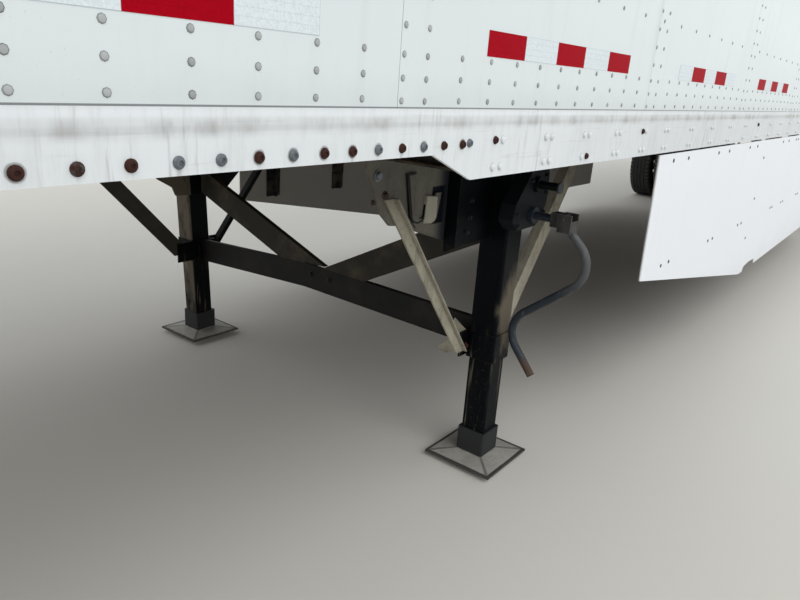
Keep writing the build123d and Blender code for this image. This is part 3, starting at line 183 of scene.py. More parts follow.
def capped_faces(rows, columns):
    """Faces of a grid of points whose rows close round, with a flat cap on its first and its last row."""
    caps = [np.arange(columns)[::-1], (rows - 1) * columns + np.arange(columns)]
    return [grid_faces(rows, columns, round_columns=True), caps]


def carried(profile, sides):
    """Points of a profile of (radius, height) pairs carried round Z: a point is (r cos a, r sin a, h)."""
    radius, height = np.array(profile, float).T
    angle = np.linspace(0, 2 * math.pi, sides, endpoint=False)
    return np.stack([radius[:, None] * np.cos(angle), radius[:, None] * np.sin(angle),
                     np.repeat(height[:, None], sides, 1)], -1)


def turned(profile, sides):
    """Surface of revolution about Z, with flat caps that close both ends of its profile."""
    return Form(carried(profile, sides), capped_faces(len(profile), sides))


def ring(profile, sides):
    """Closed profile carried round Z."""
    return Form(carried(profile, sides), [grid_faces(len(profile), sides, True, True)])


def slab(outline, low, high, ease):
    """Flat outline in x and y raised from low to high, its upper edge drawn in and down by the ease: rows
    of the outline at low, at high less the ease and at high, the last scaled towards the middle."""
    outline = np.asarray(outline, float)
    middle = outline.mean(0)
    top = middle + (outline - middle) * (1 - ease / np.abs(outline - middle).max())
    rows = ((outline, low), (outline, high - ease), (top, high))
    points = np.concatenate([np.column_stack([flat, np.full(len(flat), z)]) for flat, z in rows])
    return Form(points, capped_faces(len(rows), len(outline)))


def rounded(width, height, radius, steps):
    """Outline of a rectangle with quarter round corners: the corner's centre plus the radius at each
    angle."""
    angle = np.linspace(0, math.pi / 2, steps)
    corners = []
    for n, (sx, sy) in enumerate(((1, 1), (-1, 1), (-1, -1), (1, -1))):
        turn = angle + n * math.pi / 2
        corners.append(np.column_stack([sx * (width / 2 - radius) + radius * np.cos(turn),
                                        sy * (height / 2 - radius) + radius * np.sin(turn)]))
    return np.concatenate(corners)


def plate_form(x0, x1, y0, y1, z0, z1, ease=0.002):
    """Flat plate with eased edges between two corners, raised along its thinnest side."""
    low = np.array([min(x0, x1), min(y0, y1), min(z0, z1)])
    high = np.array([max(x0, x1), max(y0, y1), max(z0, z1)])
    size = high - low
    thin = int(np.argmin(size))
    first, second = (thin + 1) % 3, (thin + 2) % 3
    radius = min(ease * 2, size[first] * 0.45, size[second] * 0.45)
    outline = rounded(size[first], size[second], radius, 3)
    form = slab(outline, -size[thin] / 2, size[thin] / 2, min(ease, size[thin] / 2))
    points = np.zeros_like(form.points)
    points[:, first], points[:, second], points[:, thin] = form.points.T
    return Form(points + (low + high) / 2, form.tables)


def flat_plate(outline, low, high):
    """Plate between two values of y, its outline given as distances behind the nose and heights."""
    form = slab(outline, low, high, 0.0015)
    distance, z, y = form.points.T
    return Form(np.column_stack([back(distance), y, z]), form.tables)


def strip(line, width, low, high):
    """Bar along a line of distances behind the nose and heights: at each point the bar reaches half its
    width to both sides, square to the mean of the two legs of the line that meet there, and from low to
    high in y."""
    line = np.asarray(line, float)
    leg = np.diff(line, axis=0)
    leg /= np.linalg.norm(leg, axis=1)[:, None]
    along = np.vstack([leg[:1], leg[:-1] + leg[1:], leg[-1:]])
    along /= np.linalg.norm(along, axis=1)[:, None]
    square = np.column_stack([-along[:, 1], along[:, 0]]) * width / 2
    sides = np.stack([line + square, line + square, line - square, line - square], 1)
    y = np.broadcast_to((low, high, high, low), sides.shape[:2])
    points = np.stack([back(sides[..., 0]), y, sides[..., 1]], -1)
    return Form(points, capped_faces(len(line), 4))


def dome(radius, height, sides=8):
    """Rivet head: rings of radius r sin t at height h cos t."""
    t = np.radians((90, 62, 32))
    rings = list(zip(radius * np.sin(t), height * np.cos(t)))
    return turned([(radius, -0.001)] + rings + [(radius * 0.18, height)], sides)


def round_bolt(radius):
    """Round headed bolt: a flange, a raised crown and a shallow recess in its middle."""
    return turned([(radius, -0.001), (radius, 0.0020), (radius * 0.80, 0.0034), (radius * 0.72, 0.0060),
                   (radius * 0.42, 0.0066), (radius * 0.30, 0.0042)], 14)


def hex_bolt(radius, sides=16):
    """Hexagon head with a chamfered top, on a washer with this many sides."""
    washer = turned([(radius * 1.32, -0.001), (radius * 1.32, 0.0022), (radius * 1.24, 0.0028)], sides)
    head = turned([(radius, 0.0020), (radius, 0.0088), (radius * 0.88, 0.0105)], 6)
    return washer + head


def hex_nut(radius, height, stud):
    """Flanged nut with the end of its stud."""
    flange = turned([(radius * 1.25, -0.001), (radius * 1.25, 0.003), (radius * 0.98, 0.006)], 16)
    body = turned([(radius, 0.004), (radius, height - 0.003), (radius * 0.86, height)], 6)
    end = turned([(stud, height - 0.002), (stud, height + 0.009), (stud * 0.8, height + 0.011)], 10)
    return flange + body + end


def facing(normal):
    """Rows that turn a shape's z to a level normal, its x up and its y to the cross product of the two."""
    return np.array([UP, np.cross(normal, UP), normal], float)


OUTWARD = {sign: facing((0, sign, 0)) for _, sign in SIDES}
REARWARD = facing((-1, 0, 0))
FORWARD = facing((1, 0, 0))


def lay(name, form, look, body="trailer", angle=40.0, values=None):
    """Puts a surface into the scene with its finish, its body and its numbers for each
    point."""
    mesh = bpy.data.meshes.new(name)
    mesh.from_pydata(form.points.tolist(), [], [face for table in form.tables for face in table.tolist()])
    mesh.polygons.foreach_set("use_smooth", np.ones(len(mesh.polygons), bool))
    mesh.set_sharp_from_angle(angle=math.radians(angle))
    for attribute, numbers in (values or {}).items():
        carrier = mesh.attributes.new(attribute, "FLOAT", "POINT")
        carrier.data.foreach_set("value", np.asarray(numbers, np.float32))
    mesh.materials.append(look)
    mesh.validate()
    mesh.update()
    piece = bpy.data.objects.new(name, mesh)
    bpy.context.scene.collection.objects.link(piece)
    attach(piece, body)
    return piece


def lay_rivets(name, radius, crown, spots, axes, look, sides=8):
    """Puts flat crowned rivets into the scene: a turned profile at every spot, whose two outer rows are a
    thin dark ring of dirt and painted shade at the head's foot. The mesh keeps each point's share of that
    ring."""
    profile = ((radius * 1.20, -0.0008), (radius * 1.20, 0.0003), (radius, 0.0005),
               (radius * 0.84, crown * 0.8), (radius * 0.40, crown))
    share = np.repeat((1.0, 1.0, 0.5, 0.0, 0.0), sides)
    form = turned(profile, sides).copied(spots, axes)
    lay(name, form, look, values={"ring": np.tile(share, len(spots))})


class Bolts:
    """Fasteners that are gathered for one piece, whose mesh keeps the rust of each."""

    def __init__(self):
        self.forms = []
        self.rusts = []

    def add(self, shape, places, axes, rust):
        """Adds a copy of the shape at every place, with one rust for them all or one for each."""
        self.forms.append(shape.copied(places, axes))
        self.rusts.append(np.repeat(np.broadcast_to(rust, len(places)), len(shape.points)))

    def lay(self, name, look=None, body="trailer"):
        """Puts the gathered fasteners into the scene as one piece, in zinc and rust unless told otherwise."""
        values = {"rust": np.concatenate(self.rusts)}
        lay(name, together(self.forms), look or zinc_bolt(), body, values=values)


# Finishes


class Wire:
    """A number socket of a shader, on which a sum adds its Math nodes."""

    def __init__(self, look, socket):
        self.look = look
        self.socket = socket

    def __add__(self, other):
        """This number plus the other."""
        return self.look.math("ADD", self, other)

    def __sub__(self, other):
        """This number less the other."""
        return self.look.math("SUBTRACT", self, other)

    def __rsub__(self, other):
        """The other number less this one."""
        return self.look.math("SUBTRACT", other, self)

    def __mul__(self, other):
        """This number times the other."""
        return self.look.math("MULTIPLY", self, other)

    def __truediv__(self, other):
        """This number over the other."""
        return self.look.math("DIVIDE", self, other)

    __radd__ = __add__
    __rmul__ = __mul__


class Finish:
    """One material: a Principled shader and the nodes that feed it."""

    def __init__(self, name, **constants):
        self.material = bpy.data.materials.new(name)
        self.material.use_nodes = True
        self.tree = self.material.node_tree
        self.tree.nodes.clear()
        self.shader = self.tree.nodes.new("ShaderNodeBsdfPrincipled")
        output = self.tree.nodes.new("ShaderNodeOutputMaterial")
        self.tree.links.new(self.shader.outputs[0], output.inputs[0])
        for socket, value in constants.items():
            self.shader.inputs[socket.replace("_", " ").title().replace("Ior", "IOR")].default_value = value
        self.place = self.node("ShaderNodeTexCoord", {}, {}, "Object")
        self.x, self.y, self.z = (
            self.node("ShaderNodeSeparateXYZ", {}, {0: self.place}, n) for n in range(3))

    def node(self, kind, settings, sockets, output=0):
        """Adds a node: its settings first, then a value or a link for each named socket."""
        made = self.tree.nodes.new(kind)
        for name, value in settings.items():
            setattr(made, name, value)
        for name, value in sockets.items():
            self.feed(made.inputs[name], value)
        return Wire(self, made.outputs[output])

    def feed(self, socket, value):
        """Links a wire to a socket, or sets its value."""
        if isinstance(value, Wire):
            self.tree.links.new(value.socket, socket)
        elif socket.type == "RGBA":
            socket.default_value = (*value[:3], 1.0)
        else:
            socket.default_value = value

    def math(self, operation, first, second=0.0):
        """One sum of a Math node on one or two numbers."""
        return self.node("ShaderNodeMath", {"operation": operation}, {0: first, 1: second})

    def size_of(self, value):
        """The number without its sign."""
        return self.math("ABSOLUTE", value)

    def greater(self, first, second):
        """The greater of two numbers."""
        return self.math("MAXIMUM", first, second)

    def mix(self, factor, first, second):
        """First colour where the factor is 0, second where it is 1."""
        return self.node("ShaderNodeMix", {"data_type": "RGBA"}, {0: factor, 6: first, 7: second}, 2)

    def stretched(self, stretch):
        """The object's own coordinates, each times its stretch."""
        return self.node("ShaderNodeVectorMath", {"operation": "MULTIPLY"}, {0: self.place, 1: stretch})

    def noise(self, scale, stretch=(1, 1, 1), detail=3.0, roughness=0.55, bend=0.0):
        """Cloudy pattern from 0 to 1, with this many blobs to the metre, drawn out by the stretch."""
        return self.node("ShaderNodeTexNoise", {}, {
            "Vector": self.stretched(stretch), "Scale": scale, "Detail": detail, "Roughness": roughness,
            "Distortion": bend})

    def cells(self, scale, stretch=(1, 1, 1), output="Distance"):
        """Cell pattern: the distance to the nearest cell middle, or each cell's own colour."""
        return self.node("ShaderNodeTexVoronoi", {},
                         {"Vector": self.stretched(stretch), "Scale": scale}, output)

    def step(self, value, low, high):
        """Smooth step from 0 at low to 1 at high."""
        return self.node("ShaderNodeMapRange", {"interpolation_type": "SMOOTHSTEP"},
                         {"Value": value, "From Min": low, "From Max": high})

    def chance(self, value):
        """A fixed random number for each whole number."""
        whole = self.math("FLOOR", value)
        return self.node("ShaderNodeTexWhiteNoise", {"noise_dimensions": "1D"}, {"W": whole}, "Value")

    def upward(self):
        """How far the surface looks up, from -1 to 1."""
        normal = self.node("ShaderNodeNewGeometry", {}, {}, "Normal")
        return self.node("ShaderNodeSeparateXYZ", {}, {0: normal}, 2)

    def edges(self, radius):
        """Worn edges: where the normal of a rounded edge parts from the flat one."""
        soft = self.node("ShaderNodeBevel", {"samples": 4}, {"Radius": radius})
        flat = self.node("ShaderNodeNewGeometry", {}, {}, "Normal")
        same = self.node("ShaderNodeVectorMath", {"operation": "DOT_PRODUCT"}, {0: soft, 1: flat}, "Value")
        return self.step(1 - same, 0.03, 0.25)

    def value(self, name):
        """A number that the piece's mesh carries."""
        return self.node("ShaderNodeAttribute", {"attribute_name": name}, {}, "Fac")

    def paint(self, colour, roughness=None, metallic=None, height=None, relief=0.001, strength=1.0):
        """Feeds the shader: the colour, the roughness, the metal share and the height of fine relief in
        metres."""
        if height is not None:
            bump = {"Height": height, "Strength": strength, "Distance": relief}
            height = self.node("ShaderNodeBump", {}, bump)
        feeds = {"Base Color": colour, "Roughness": roughness, "Metallic": metallic, "Normal": height}
        for socket, value in feeds.items():
            if value is not None:
                self.feed(self.shader.inputs[socket], value)
        return self.material


def white_skin(name, white, grime_and_shade, foot=RAIL_TOP, reach=0.10):
    """Gloss white panel: faint clouds, thin vertical wash marks, a film of grime that rises from the foot,
    and a thin painted shadow line just above the foot."""
    f = Finish(name, specular_ior_level=0.5)
    clouds = f.noise(1.3, (1, 1, 2), 3)
    wash = f.step(f.noise(9.0, (2.4, 2.4, 0.16), 4, 0.6), 0.52, 0.78)
    film = f.step(f.z - foot + f.noise(14.0) * 0.05, reach, 0.0)
    specks = f.step(f.noise(260.0, detail=1), 0.70, 0.78) * f.step(f.noise(3.0), 0.45, 0.65)
    base = f.mix(clouds * 0.5, white, scaled(white, 0.955))
    base = f.mix(wash * 0.08 + film * 0.18 + specks * 0.35, base, grime_and_shade)
    # Painted shadow: just above the foot the panel turns nearly black, standing in for the shade under its
    # lower edge
    base = f.mix(f.step(f.z, foot + 0.0032, foot + 0.0022) * 0.75, base, scaled(grime_and_shade, 0.2))
    return f.paint(base, 0.30 + clouds * 0.12 + wash * 0.15, None, clouds + f.noise(40.0) * 0.02, 0.002, 0.25)


def rail_paint(name, white, grime_and_shade, rust):
    """Painted rail: a rolled bead under its top edge with a darker band of dirt and painted shade below it,
    vertical drips, scuffs along it and rust rings round the row of bolts."""
    f = Finish(name, specular_ior_level=0.45)
    level = f.z + f.noise(5.0, (1, 1, 1), 2) * 0.008
    # Darker band about 2 cm under the rail's top: smeared dirt, and painted shade on the underside of the
    # bead
    below = f.step(level, RAIL_TOP - 0.004, RAIL_TOP - 0.018)
    dirt_and_shade_band = f.step(level, RAIL_TOP - 0.040, RAIL_TOP - 0.026) * below
    smears = f.step(f.noise(11.0, (1.2, 1, 0.5), 4, 0.65), 0.42, 0.72)
    dripping = f.step(f.noise(2.4, (1, 1, 0.1), 2), 0.40, 0.62)
    drips = f.step(f.noise(34.0, (2.2, 2.2, 0.20), 3, 0.6), 0.55, 0.72) * dripping
    scuffs = f.step(f.noise(22.0, (0.25, 1, 6), 3), 0.60, 0.74)
    patches = f.step(f.noise(2.2, (1, 1, 0.4), 4, 0.6), 0.50, 0.68)
    streaks = f.step(f.noise(60.0, (1, 1, 0.12), 4, 0.7), 0.44, 0.70)

    # Rust round each bolt of the row: a ring by the distance from the nearest bolt, and a tear down from it
    along = (f.x - back(ROW_START)) / BOLT_PITCH + 0.5
    off = (along - f.math("FLOOR", along) - 0.5) * BOLT_PITCH
    drop = f.z - BOLT_HEIGHT
    far = f.math("SQRT", off * off + drop * drop)
    front = f.step(f.x, back(NOTCH) - 0.01, back(NOTCH))
    rings = f.step(far + f.noise(90.0) * 0.003, 0.0145, 0.0115) * front * f.step(f.chance(along), 0.30, 0.55)
    tears = f.step(f.size_of(off) + f.noise(60.0, (1, 1, 0.2)) * 0.008, 0.010, 0.004)
    tears = tears * f.step(drop, 0.0, -0.01) * f.step(f.chance(along + 40), 0.45, 0.7) * front

    base = f.mix(patches * 0.22, white, scaled(white, 0.80))
    base = f.mix(f.step(f.x, back(2.9), back(4.2)) * (0.14 + patches * 0.12), base, grime_and_shade)
    base = f.mix(dirt_and_shade_band * (0.12 + smears * 0.50), base, grime_and_shade)
    base = f.mix(drips * 0.42 + scuffs * 0.14 + streaks * 0.12, base, grime_and_shade)
    base = f.mix(rings * 0.55 + tears * 0.25, base, rust)
    bead = f.step(f.z, RAIL_TOP - 0.034, RAIL_TOP - 0.022) * f.step(f.z, RAIL_TOP - 0.002, RAIL_TOP - 0.014)
    rough = 0.38 + smears * 0.15 + drips * 0.15
    return f.paint(base, rough, None, bead * 0.8 + f.noise(16.0) * 0.06, 0.004, 0.5)


def black_paint(name, black, dust, worn, dustiness=0.5, wear=0.5, gloss=0.42, ledge=1.0):
    """Black paint over steel: road dust in clouds and on ledges, scratches, and bare or rusty edges."""
    f = Finish(name, specular_ior_level=0.16)
    clouds = f.step(f.noise(5.0, (1, 1, 1), 5, 0.65), 0.40, 0.78)
    ledges = f.step(f.upward(), 0.2, 0.9) * ledge
    scratches = f.step(f.noise(46.0, (1, 1, 0.12), 2, 0.5, 0.6), 0.66, 0.72)
    specks = f.step(f.noise(150.0, detail=2), 0.66, 0.74)
    edge = f.edges(0.006) * f.step(f.noise(26.0, detail=4), 0.38, 0.60)
    base = f.mix(clouds * dustiness * 0.55 + ledges * dustiness * 0.6, black, dust)
    base = f.mix((scratches * 0.35 + specks * 0.5 + edge * 0.8) * wear, base, worn)
    rough = gloss + clouds * 0.25 + edge * 0.1
    return f.paint(base, rough, edge * 0.3 * wear, f.noise(70.0, detail=4) * 0.3, 0.0008)


def leg_paint(name, black, dust, worn, grey):
    """Leg tubes: navy black paint, tan patches of scraped dust and painted light on the outer face and on the
    kerb side leg's front face, brown run marks and dull edges.
    """
    f = Finish(name, specular_ior_level=0.06)
    clouds = f.step(f.noise(7.0, (1, 1, 0.6), 5, 0.65), 0.46, 0.84)
    # Tan patches on the outer face and the kerb side leg's front face: scraped dust, and painted light on the
    # faces the sky lights
    outer = f.step(f.size_of(f.y), LEG_OUT + 0.036, LEG_OUT + 0.054)
    off = f.size_of(f.z - 0.64) * 1.9 + f.greater(f.x - LEG_X, 0.0) * 4.0
    scraped_and_lit = f.step(off + f.noise(12.0, (1.5, 1, 0.5), 5, 0.7) * 0.6, 0.64, 0.38) * outer
    far = f.step(f.y, -0.5, -0.6)
    front = f.step(f.x - LEG_X - (f.z - SHOE_TOP) * FAR_LEAN, 0.046, 0.052) * far * f.step(f.z, 1.02, 0.94)
    rubbed = f.step(f.noise(9.0, (1, 1, 0.35), 5, 0.7), 0.30, 0.52)
    rubbed = rubbed * f.step(f.size_of(f.z - 0.49), 0.050, 0.060)
    dust_and_light_patch = f.greater(scraped_and_lit, front * rubbed)
    low = f.step(f.z, 0.60, 0.42)
    runs = f.step(f.noise(34.0, (1.6, 1.6, 0.12), 4, 0.6), 0.56, 0.72)
    chips = f.step(f.noise(90.0, detail=3), 0.62, 0.70)
    edge = f.edges(0.006) * f.step(f.noise(30.0, detail=4), 0.36, 0.58)
    base = f.mix(clouds * 0.22, black, grey)
    base = f.mix(dust_and_light_patch * 0.80 + runs * low * 0.55, base, dust)
    base = f.mix(edge * 0.65 + chips * (0.12 + low * 0.35), base, worn)
    rough = 0.40 + clouds * 0.2 + dust_and_light_patch * 0.2
    return f.paint(base, rough, edge * 0.2, f.noise(60.0, detail=4) * 0.4, 0.0008)


def dusty_steel(name, pale, stain, rust, stripe=0.0, fade=None):
    """Pale painted or zinc steel under road film: soft stains, brown runs and rust along the edges. A fade
    gives the distances behind the nose over which navy paint takes its place."""
    f = Finish(name, specular_ior_level=0.35)
    clouds = f.noise(4.5, (1, 1, 1), 5, 0.6)
    runs = f.step(f.noise(24.0, (1.6, 1.6, 0.22), 4, 0.6), 0.50, 0.74)
    spots = f.step(f.noise(60.0, detail=4), 0.60, 0.68)
    edge = f.edges(0.007) * f.step(f.noise(22.0, detail=4), 0.35, 0.62)
    flake = f.cells(110.0)
    base = f.mix(f.step(clouds, 0.40, 0.68) * 0.60, pale, stain)
    base = f.mix(runs * 0.45, base, scaled(stain, 0.62))
    base = f.mix(edge * 0.55 + spots * (0.18 + stripe), base, rust)
    if fade:
        paint = f.step(f.x + clouds * 0.03, back(fade[0]), back(fade[1]))
        base = f.mix(paint * 0.9, base, (0.006, 0.009, 0.018))
    return f.paint(base, 0.52 + flake * 0.2, 0.15, clouds * 0.4 + spots * 0.2 + flake * 0.1, 0.0008, 0.6)


def far_paint(name, charcoal, black, rust):
    """Kerb side braces: dusty charcoal ahead of the leg, black behind it, dull and chipped."""
    f = Finish(name, specular_ior_level=0.08)
    clouds = f.step(f.noise(6.0, (1, 1, 1), 5, 0.65), 0.38, 0.72)
    chips = f.step(f.noise(70.0, detail=3), 0.62, 0.70)
    base = f.mix(f.step(f.x, LEG_X, LEG_X - 0.03), charcoal, black)
    base = f.mix(clouds * 0.45, base, scaled(charcoal, 1.8))
    base = f.mix(f.step(f.x, LEG_X - 0.02, LEG_X - 0.05), base, black)
    base = f.mix(chips * 0.3 + f.edges(0.006) * 0.4, base, scaled(charcoal, 3.0))
    base = f.mix(chips * f.step(f.x, LEG_X, LEG_X + 0.1) * 0.2, base, rust)
    return f.paint(base, 0.55 + clouds * 0.2, None, clouds + chips * 0.3, 0.0008, 0.5)


def zinc(name, pale, stain):
    """Galvanised steel: spangle cells of differing grey, white bloom and grey rain marks."""
    f = Finish(name, specular_ior_level=0.5)
    grey = f.node("ShaderNodeSeparateColor", {}, {0: f.cells(70.0, output="Color")})
    bloom = f.step(f.noise(7.0, (1, 1, 1), 5, 0.6), 0.45, 0.75)
    runs = f.step(f.noise(22.0, (1.6, 1.6, 0.2), 4), 0.55, 0.75)
    base = f.mix(grey * 0.35, pale, scaled(pale, 0.72))
    base = f.mix(bloom * 0.35 + runs * 0.3, base, stain)
    rough = 0.36 + grey * 0.15 + bloom * 0.2
    return f.paint(base, rough, 0.75 - bloom * 0.35, grey * 0.2 + f.noise(50.0) * 0.3, 0.0006)


def bare_metal(name, bright, dark):
    """Bare metal with fine grain, dull patches and dark handling marks."""
    f = Finish(name)
    lines = f.noise(120.0, (1, 1, 1), 3, 0.6)
    dull = f.step(f.noise(3.0, (1, 1, 1), 4, 0.6), 0.42, 0.70)
    marks = f.step(f.noise(18.0, (1, 1, 1), 4, 0.65), 0.58, 0.70)
    base = f.mix(dull * 0.30 + marks * 0.25, bright, dark)
    return f.paint(base, 0.32 + lines * 0.16 + dull * 0.18, 0.9 - dull * 0.25, lines, 0.0004, 0.5)


def shoe_steel(name, grey, dark, rust):
    """Pressed foot: dusty grey faces, dark worn ridges on the corners, a dark neck, and a dark band of
    painted shade round the rim with rust in it.
    """
    f = Finish(name, specular_ior_level=0.35)
    clouds = f.noise(9.0, (1, 1, 1), 5, 0.65)
    px = f.size_of(f.x - LEG_X)
    py = f.size_of(f.size_of(f.y) - LEG_OUT)
    ridge = f.step(f.size_of(px - py) + clouds * 0.012, 0.018, 0.010)
    neck = f.step(f.z + clouds * 0.006, 0.040, 0.045)
    # Painted shade: a dark band round the outer rim, where its edge lies in shade, with a little rust
    rim = f.step(f.greater(px, py) + clouds * 0.008, 0.136, 0.141)
    chips = f.step(f.noise(120.0, detail=3), 0.60, 0.68)
    base = f.mix(f.step(clouds, 0.40, 0.65) * 0.5, grey, scaled(grey, 0.6))
    base = f.mix(f.greater(ridge * 0.55, f.greater(neck * 0.97, rim * 0.85)), base, dark)
    base = f.mix(chips * 0.35 + rim * clouds * 0.3, base, rust)
    return f.paint(base, 0.55 + clouds * 0.2, 0.1, clouds + chips * 0.3, 0.001, 0.6)


def crank_paint(name, navy, grey, rust):
    """Crank: rusty clevis, rubbed grey bend, navy middle and brown grip, with scratches along the tube."""
    f = Finish(name, specular_ior_level=0.3)
    level = f.z + f.noise(16.0, detail=4) * 0.05
    clevis = f.step(level, 0.985, 1.000) * f.step(f.y, 1.098, 1.106)
    top = f.step(level, 0.76, 0.86) * f.step(f.y, 1.120, 1.160)
    grip = f.step(level, 0.515, 0.485)
    scratches = f.step(f.noise(70.0, (1, 1, 0.3), 3), 0.58, 0.68)
    clouds = f.step(f.noise(20.0, detail=5), 0.42, 0.70)
    base = f.mix(clouds * 0.30, navy, scaled(navy, 2.2))
    base = f.mix(top * 0.85, base, grey)
    base = f.mix(grip * 0.9, base, rust)
    base = f.mix(clevis * (0.5 + clouds * 0.4), base, scaled(rust, 0.25))
    base = f.mix(scratches * 0.25 + f.edges(0.003) * clevis * 0.8, base, scaled(grey, 2.2))
    return f.paint(base, 0.42 + clouds * 0.15 + grip * 0.2, top * 0.25, clouds + scratches * 0.3, 0.0006, 0.6)


def gear_paint(name, blue_grey, dark, dust):
    """Cast gear case: blue grey enamel, dark greasy shafts with paler ends and dust on its upper edges."""
    f = Finish(name, specular_ior_level=0.15)
    clouds = f.step(f.noise(12.0, detail=5, roughness=0.65), 0.40, 0.72)
    shaft = f.step(f.size_of(f.y), LEG_OUT + 0.112, LEG_OUT + 0.120)
    end = f.step(f.size_of(f.y), LEG_OUT + 0.194, LEG_OUT + 0.198)
    grit = f.noise(190.0, detail=3)
    base = f.mix(clouds * 0.45, blue_grey, dark)
    base = f.mix(f.step(f.upward(), 0.7, 1.0) * 0.15, base, dust)
    base = f.mix(shaft * 0.9, base, dark)
    base = f.mix(end * 0.35, base, (0.16, 0.17, 0.18))
    return f.paint(base, 0.45 + grit * 0.15, 0.0, grit * 0.5 + clouds * 0.3, 0.0008)


def skirt_skin(name, white, grime_and_shade):
    """Fibre faced skirt panel: a faint vertical weave, road spray that rises from the foot, scuffs near it
    and a dark tan inner face that is painted shade of the underside."""
    f = Finish(name, specular_ior_level=0.5)
    weave = f.noise(160.0, (1, 1, 0.06), 2)
    clouds = f.noise(1.8, (1, 1, 1), 4)
    spray = f.step(f.z + clouds * 0.30, 0.80, 0.42)
    # Painted shade: the inner face turns dark tan, standing in for the shade under the trailer
    inner = f.step(f.size_of(f.y), SKIRT_OUT - 0.003, SKIRT_OUT - 0.005)
    drips = f.step(f.noise(26.0, (2, 2, 0.1), 3), 0.58, 0.74)
    scuffs = f.step(f.noise(16.0, (0.4, 1, 3), 4), 0.64, 0.72) * f.step(f.z, 0.70, 0.45)
    base = f.mix(clouds * 0.30, white, scaled(white, 0.94))
    base = f.mix(spray * 0.16 + drips * 0.05 + scuffs * 0.30, base, grime_and_shade)
    base = f.mix(inner * 0.85, base, (0.22, 0.195, 0.155))
    return f.paint(base, 0.36 + weave * 0.10 + spray * 0.15, None, weave + clouds * 0.5, 0.0005, 0.5)


def deck_wood(name, pale, dark):
    """Laminated hardwood floor: 32 mm strips with staggered joints, each strip its own tone, grain along it
    and grey traffic wear."""
    f = Finish(name, specular_ior_level=0.35)
    strip_place = f.y / 0.032
    block = f.x / 0.9 + f.chance(strip_place) * 7.0
    tone = f.chance(f.math("FLOOR", block) * 17.0 + f.math("FLOOR", strip_place) * 3.0)
    grain = f.noise(60.0, (0.06, 1, 1), 4, 0.6, 0.3)
    seam = f.step(f.size_of(f.math("FRACT", strip_place) - 0.5), 0.46, 0.49)
    wear = f.step(f.noise(2.0, (0.5, 1, 1), 4), 0.42, 0.68)
    base = f.mix(tone * 0.75, pale, dark)
    base = f.mix(f.step(grain, 0.42, 0.68) * 0.4 + seam * 0.5, base, scaled(dark, 0.45))
    base = f.mix(wear * 0.40, base, (0.30, 0.27, 0.23))
    return f.paint(base, 0.50 + wear * 0.2, None, grain * 0.5 - seam, 0.001, 0.6)


def tyre_rubber(name, rubber, dust):
    """Tyre: dull cloudy side and tread, with dust in the grooves and in fine grit."""
    f = Finish(name, specular_ior_level=0.3)
    clouds = f.noise(8.0, detail=5, roughness=0.65)
    grit = f.noise(260.0, detail=2)
    base = f.mix(f.step(clouds, 0.40, 0.70) * 0.35, rubber, scaled(rubber, 1.9))
    base = f.mix(f.value("groove") * 0.45 + f.step(grit, 0.60, 0.72) * 0.15, base, dust)
    return f.paint(base, 0.74 + clouds * 0.14, None, grit * 0.5 + clouds * 0.5, 0.0007, 0.6)


def rim_paint(name, grey, dust, rust):
    """Painted rim: dusty grey, a brown drum behind it, and rust specks and edges."""
    f = Finish(name, specular_ior_level=0.45)
    clouds = f.noise(10.0, detail=5)
    drum = f.step(f.size_of(f.y), DRUM_FACE + 0.002, DRUM_FACE - 0.004)
    specks = f.step(f.noise(80.0, detail=4), 0.60, 0.70)
    edge = f.edges(0.006) * f.step(f.noise(30.0), 0.40, 0.62)
    base = f.mix(f.step(clouds, 0.38, 0.72) * 0.45, grey, dust)
    base = f.mix(drum * 0.85, base, (0.10, 0.065, 0.045))
    base = f.mix(specks * 0.25 + edge * 0.45, base, rust)
    return f.paint(base, 0.42 + clouds * 0.2, 0.1, clouds + specks * 0.3, 0.0008, 0.5)


def rubber_face(name, black, dust):
    """Moulded rubber: fine grain under a dusty film."""
    f = Finish(name, specular_ior_level=0.3)
    clouds = f.step(f.noise(9.0, detail=5), 0.40, 0.75)
    grain = f.noise(320.0, detail=2)
    return f.paint(f.mix(clouds * 0.35, black, dust), 0.66 + clouds * 0.15, None, grain, 0.0004, 0.6)


def lens(name, colour, pale, front=None):
    """Moulded lens: small prisms in rows under a clear face, of another colour ahead of the last metre."""
    f = Finish(name, roughness=0.18, coat_weight=0.6, coat_roughness=0.05, specular_ior_level=0.6)
    rows = f.math("SINE", (f.x + f.y) * 900.0) * f.math("SINE", f.z * 900.0)
    base = f.mix(f.step(f.x, TAIL + 1.0, TAIL + 1.1), colour, front or colour)
    return f.paint(f.mix(f.step(rows, -0.4, 1.0) * 0.35, base, pale), None, None, rows, 0.0005, 0.5)


def coupler_face(name, steel, grease, rust):
    """Coupler plate: polished and greasy round the pin, scored fore and aft, rusty towards its edges."""
    f = Finish(name)
    dx = f.x - back(KINGPIN)
    far = f.math("SQRT", dx * dx + f.y * f.y)
    clouds = f.noise(6.0, detail=5)
    greasy = f.step(far + clouds * 0.35, 0.62, 0.34)
    scores = f.step(f.noise(40.0, (0.08, 1, 1), 3), 0.55, 0.66)
    base = f.mix(f.step(clouds, 0.38, 0.66), steel, rust)
    base = f.mix(greasy * 0.88, base, grease)
    base = f.mix(scores * 0.25 * (1 - greasy), base, (0.42, 0.41, 0.40))
    return f.paint(base, 0.62 - greasy * 0.36, 0.25 + scores * 0.3, clouds + scores * 0.4, 0.001, 0.6)


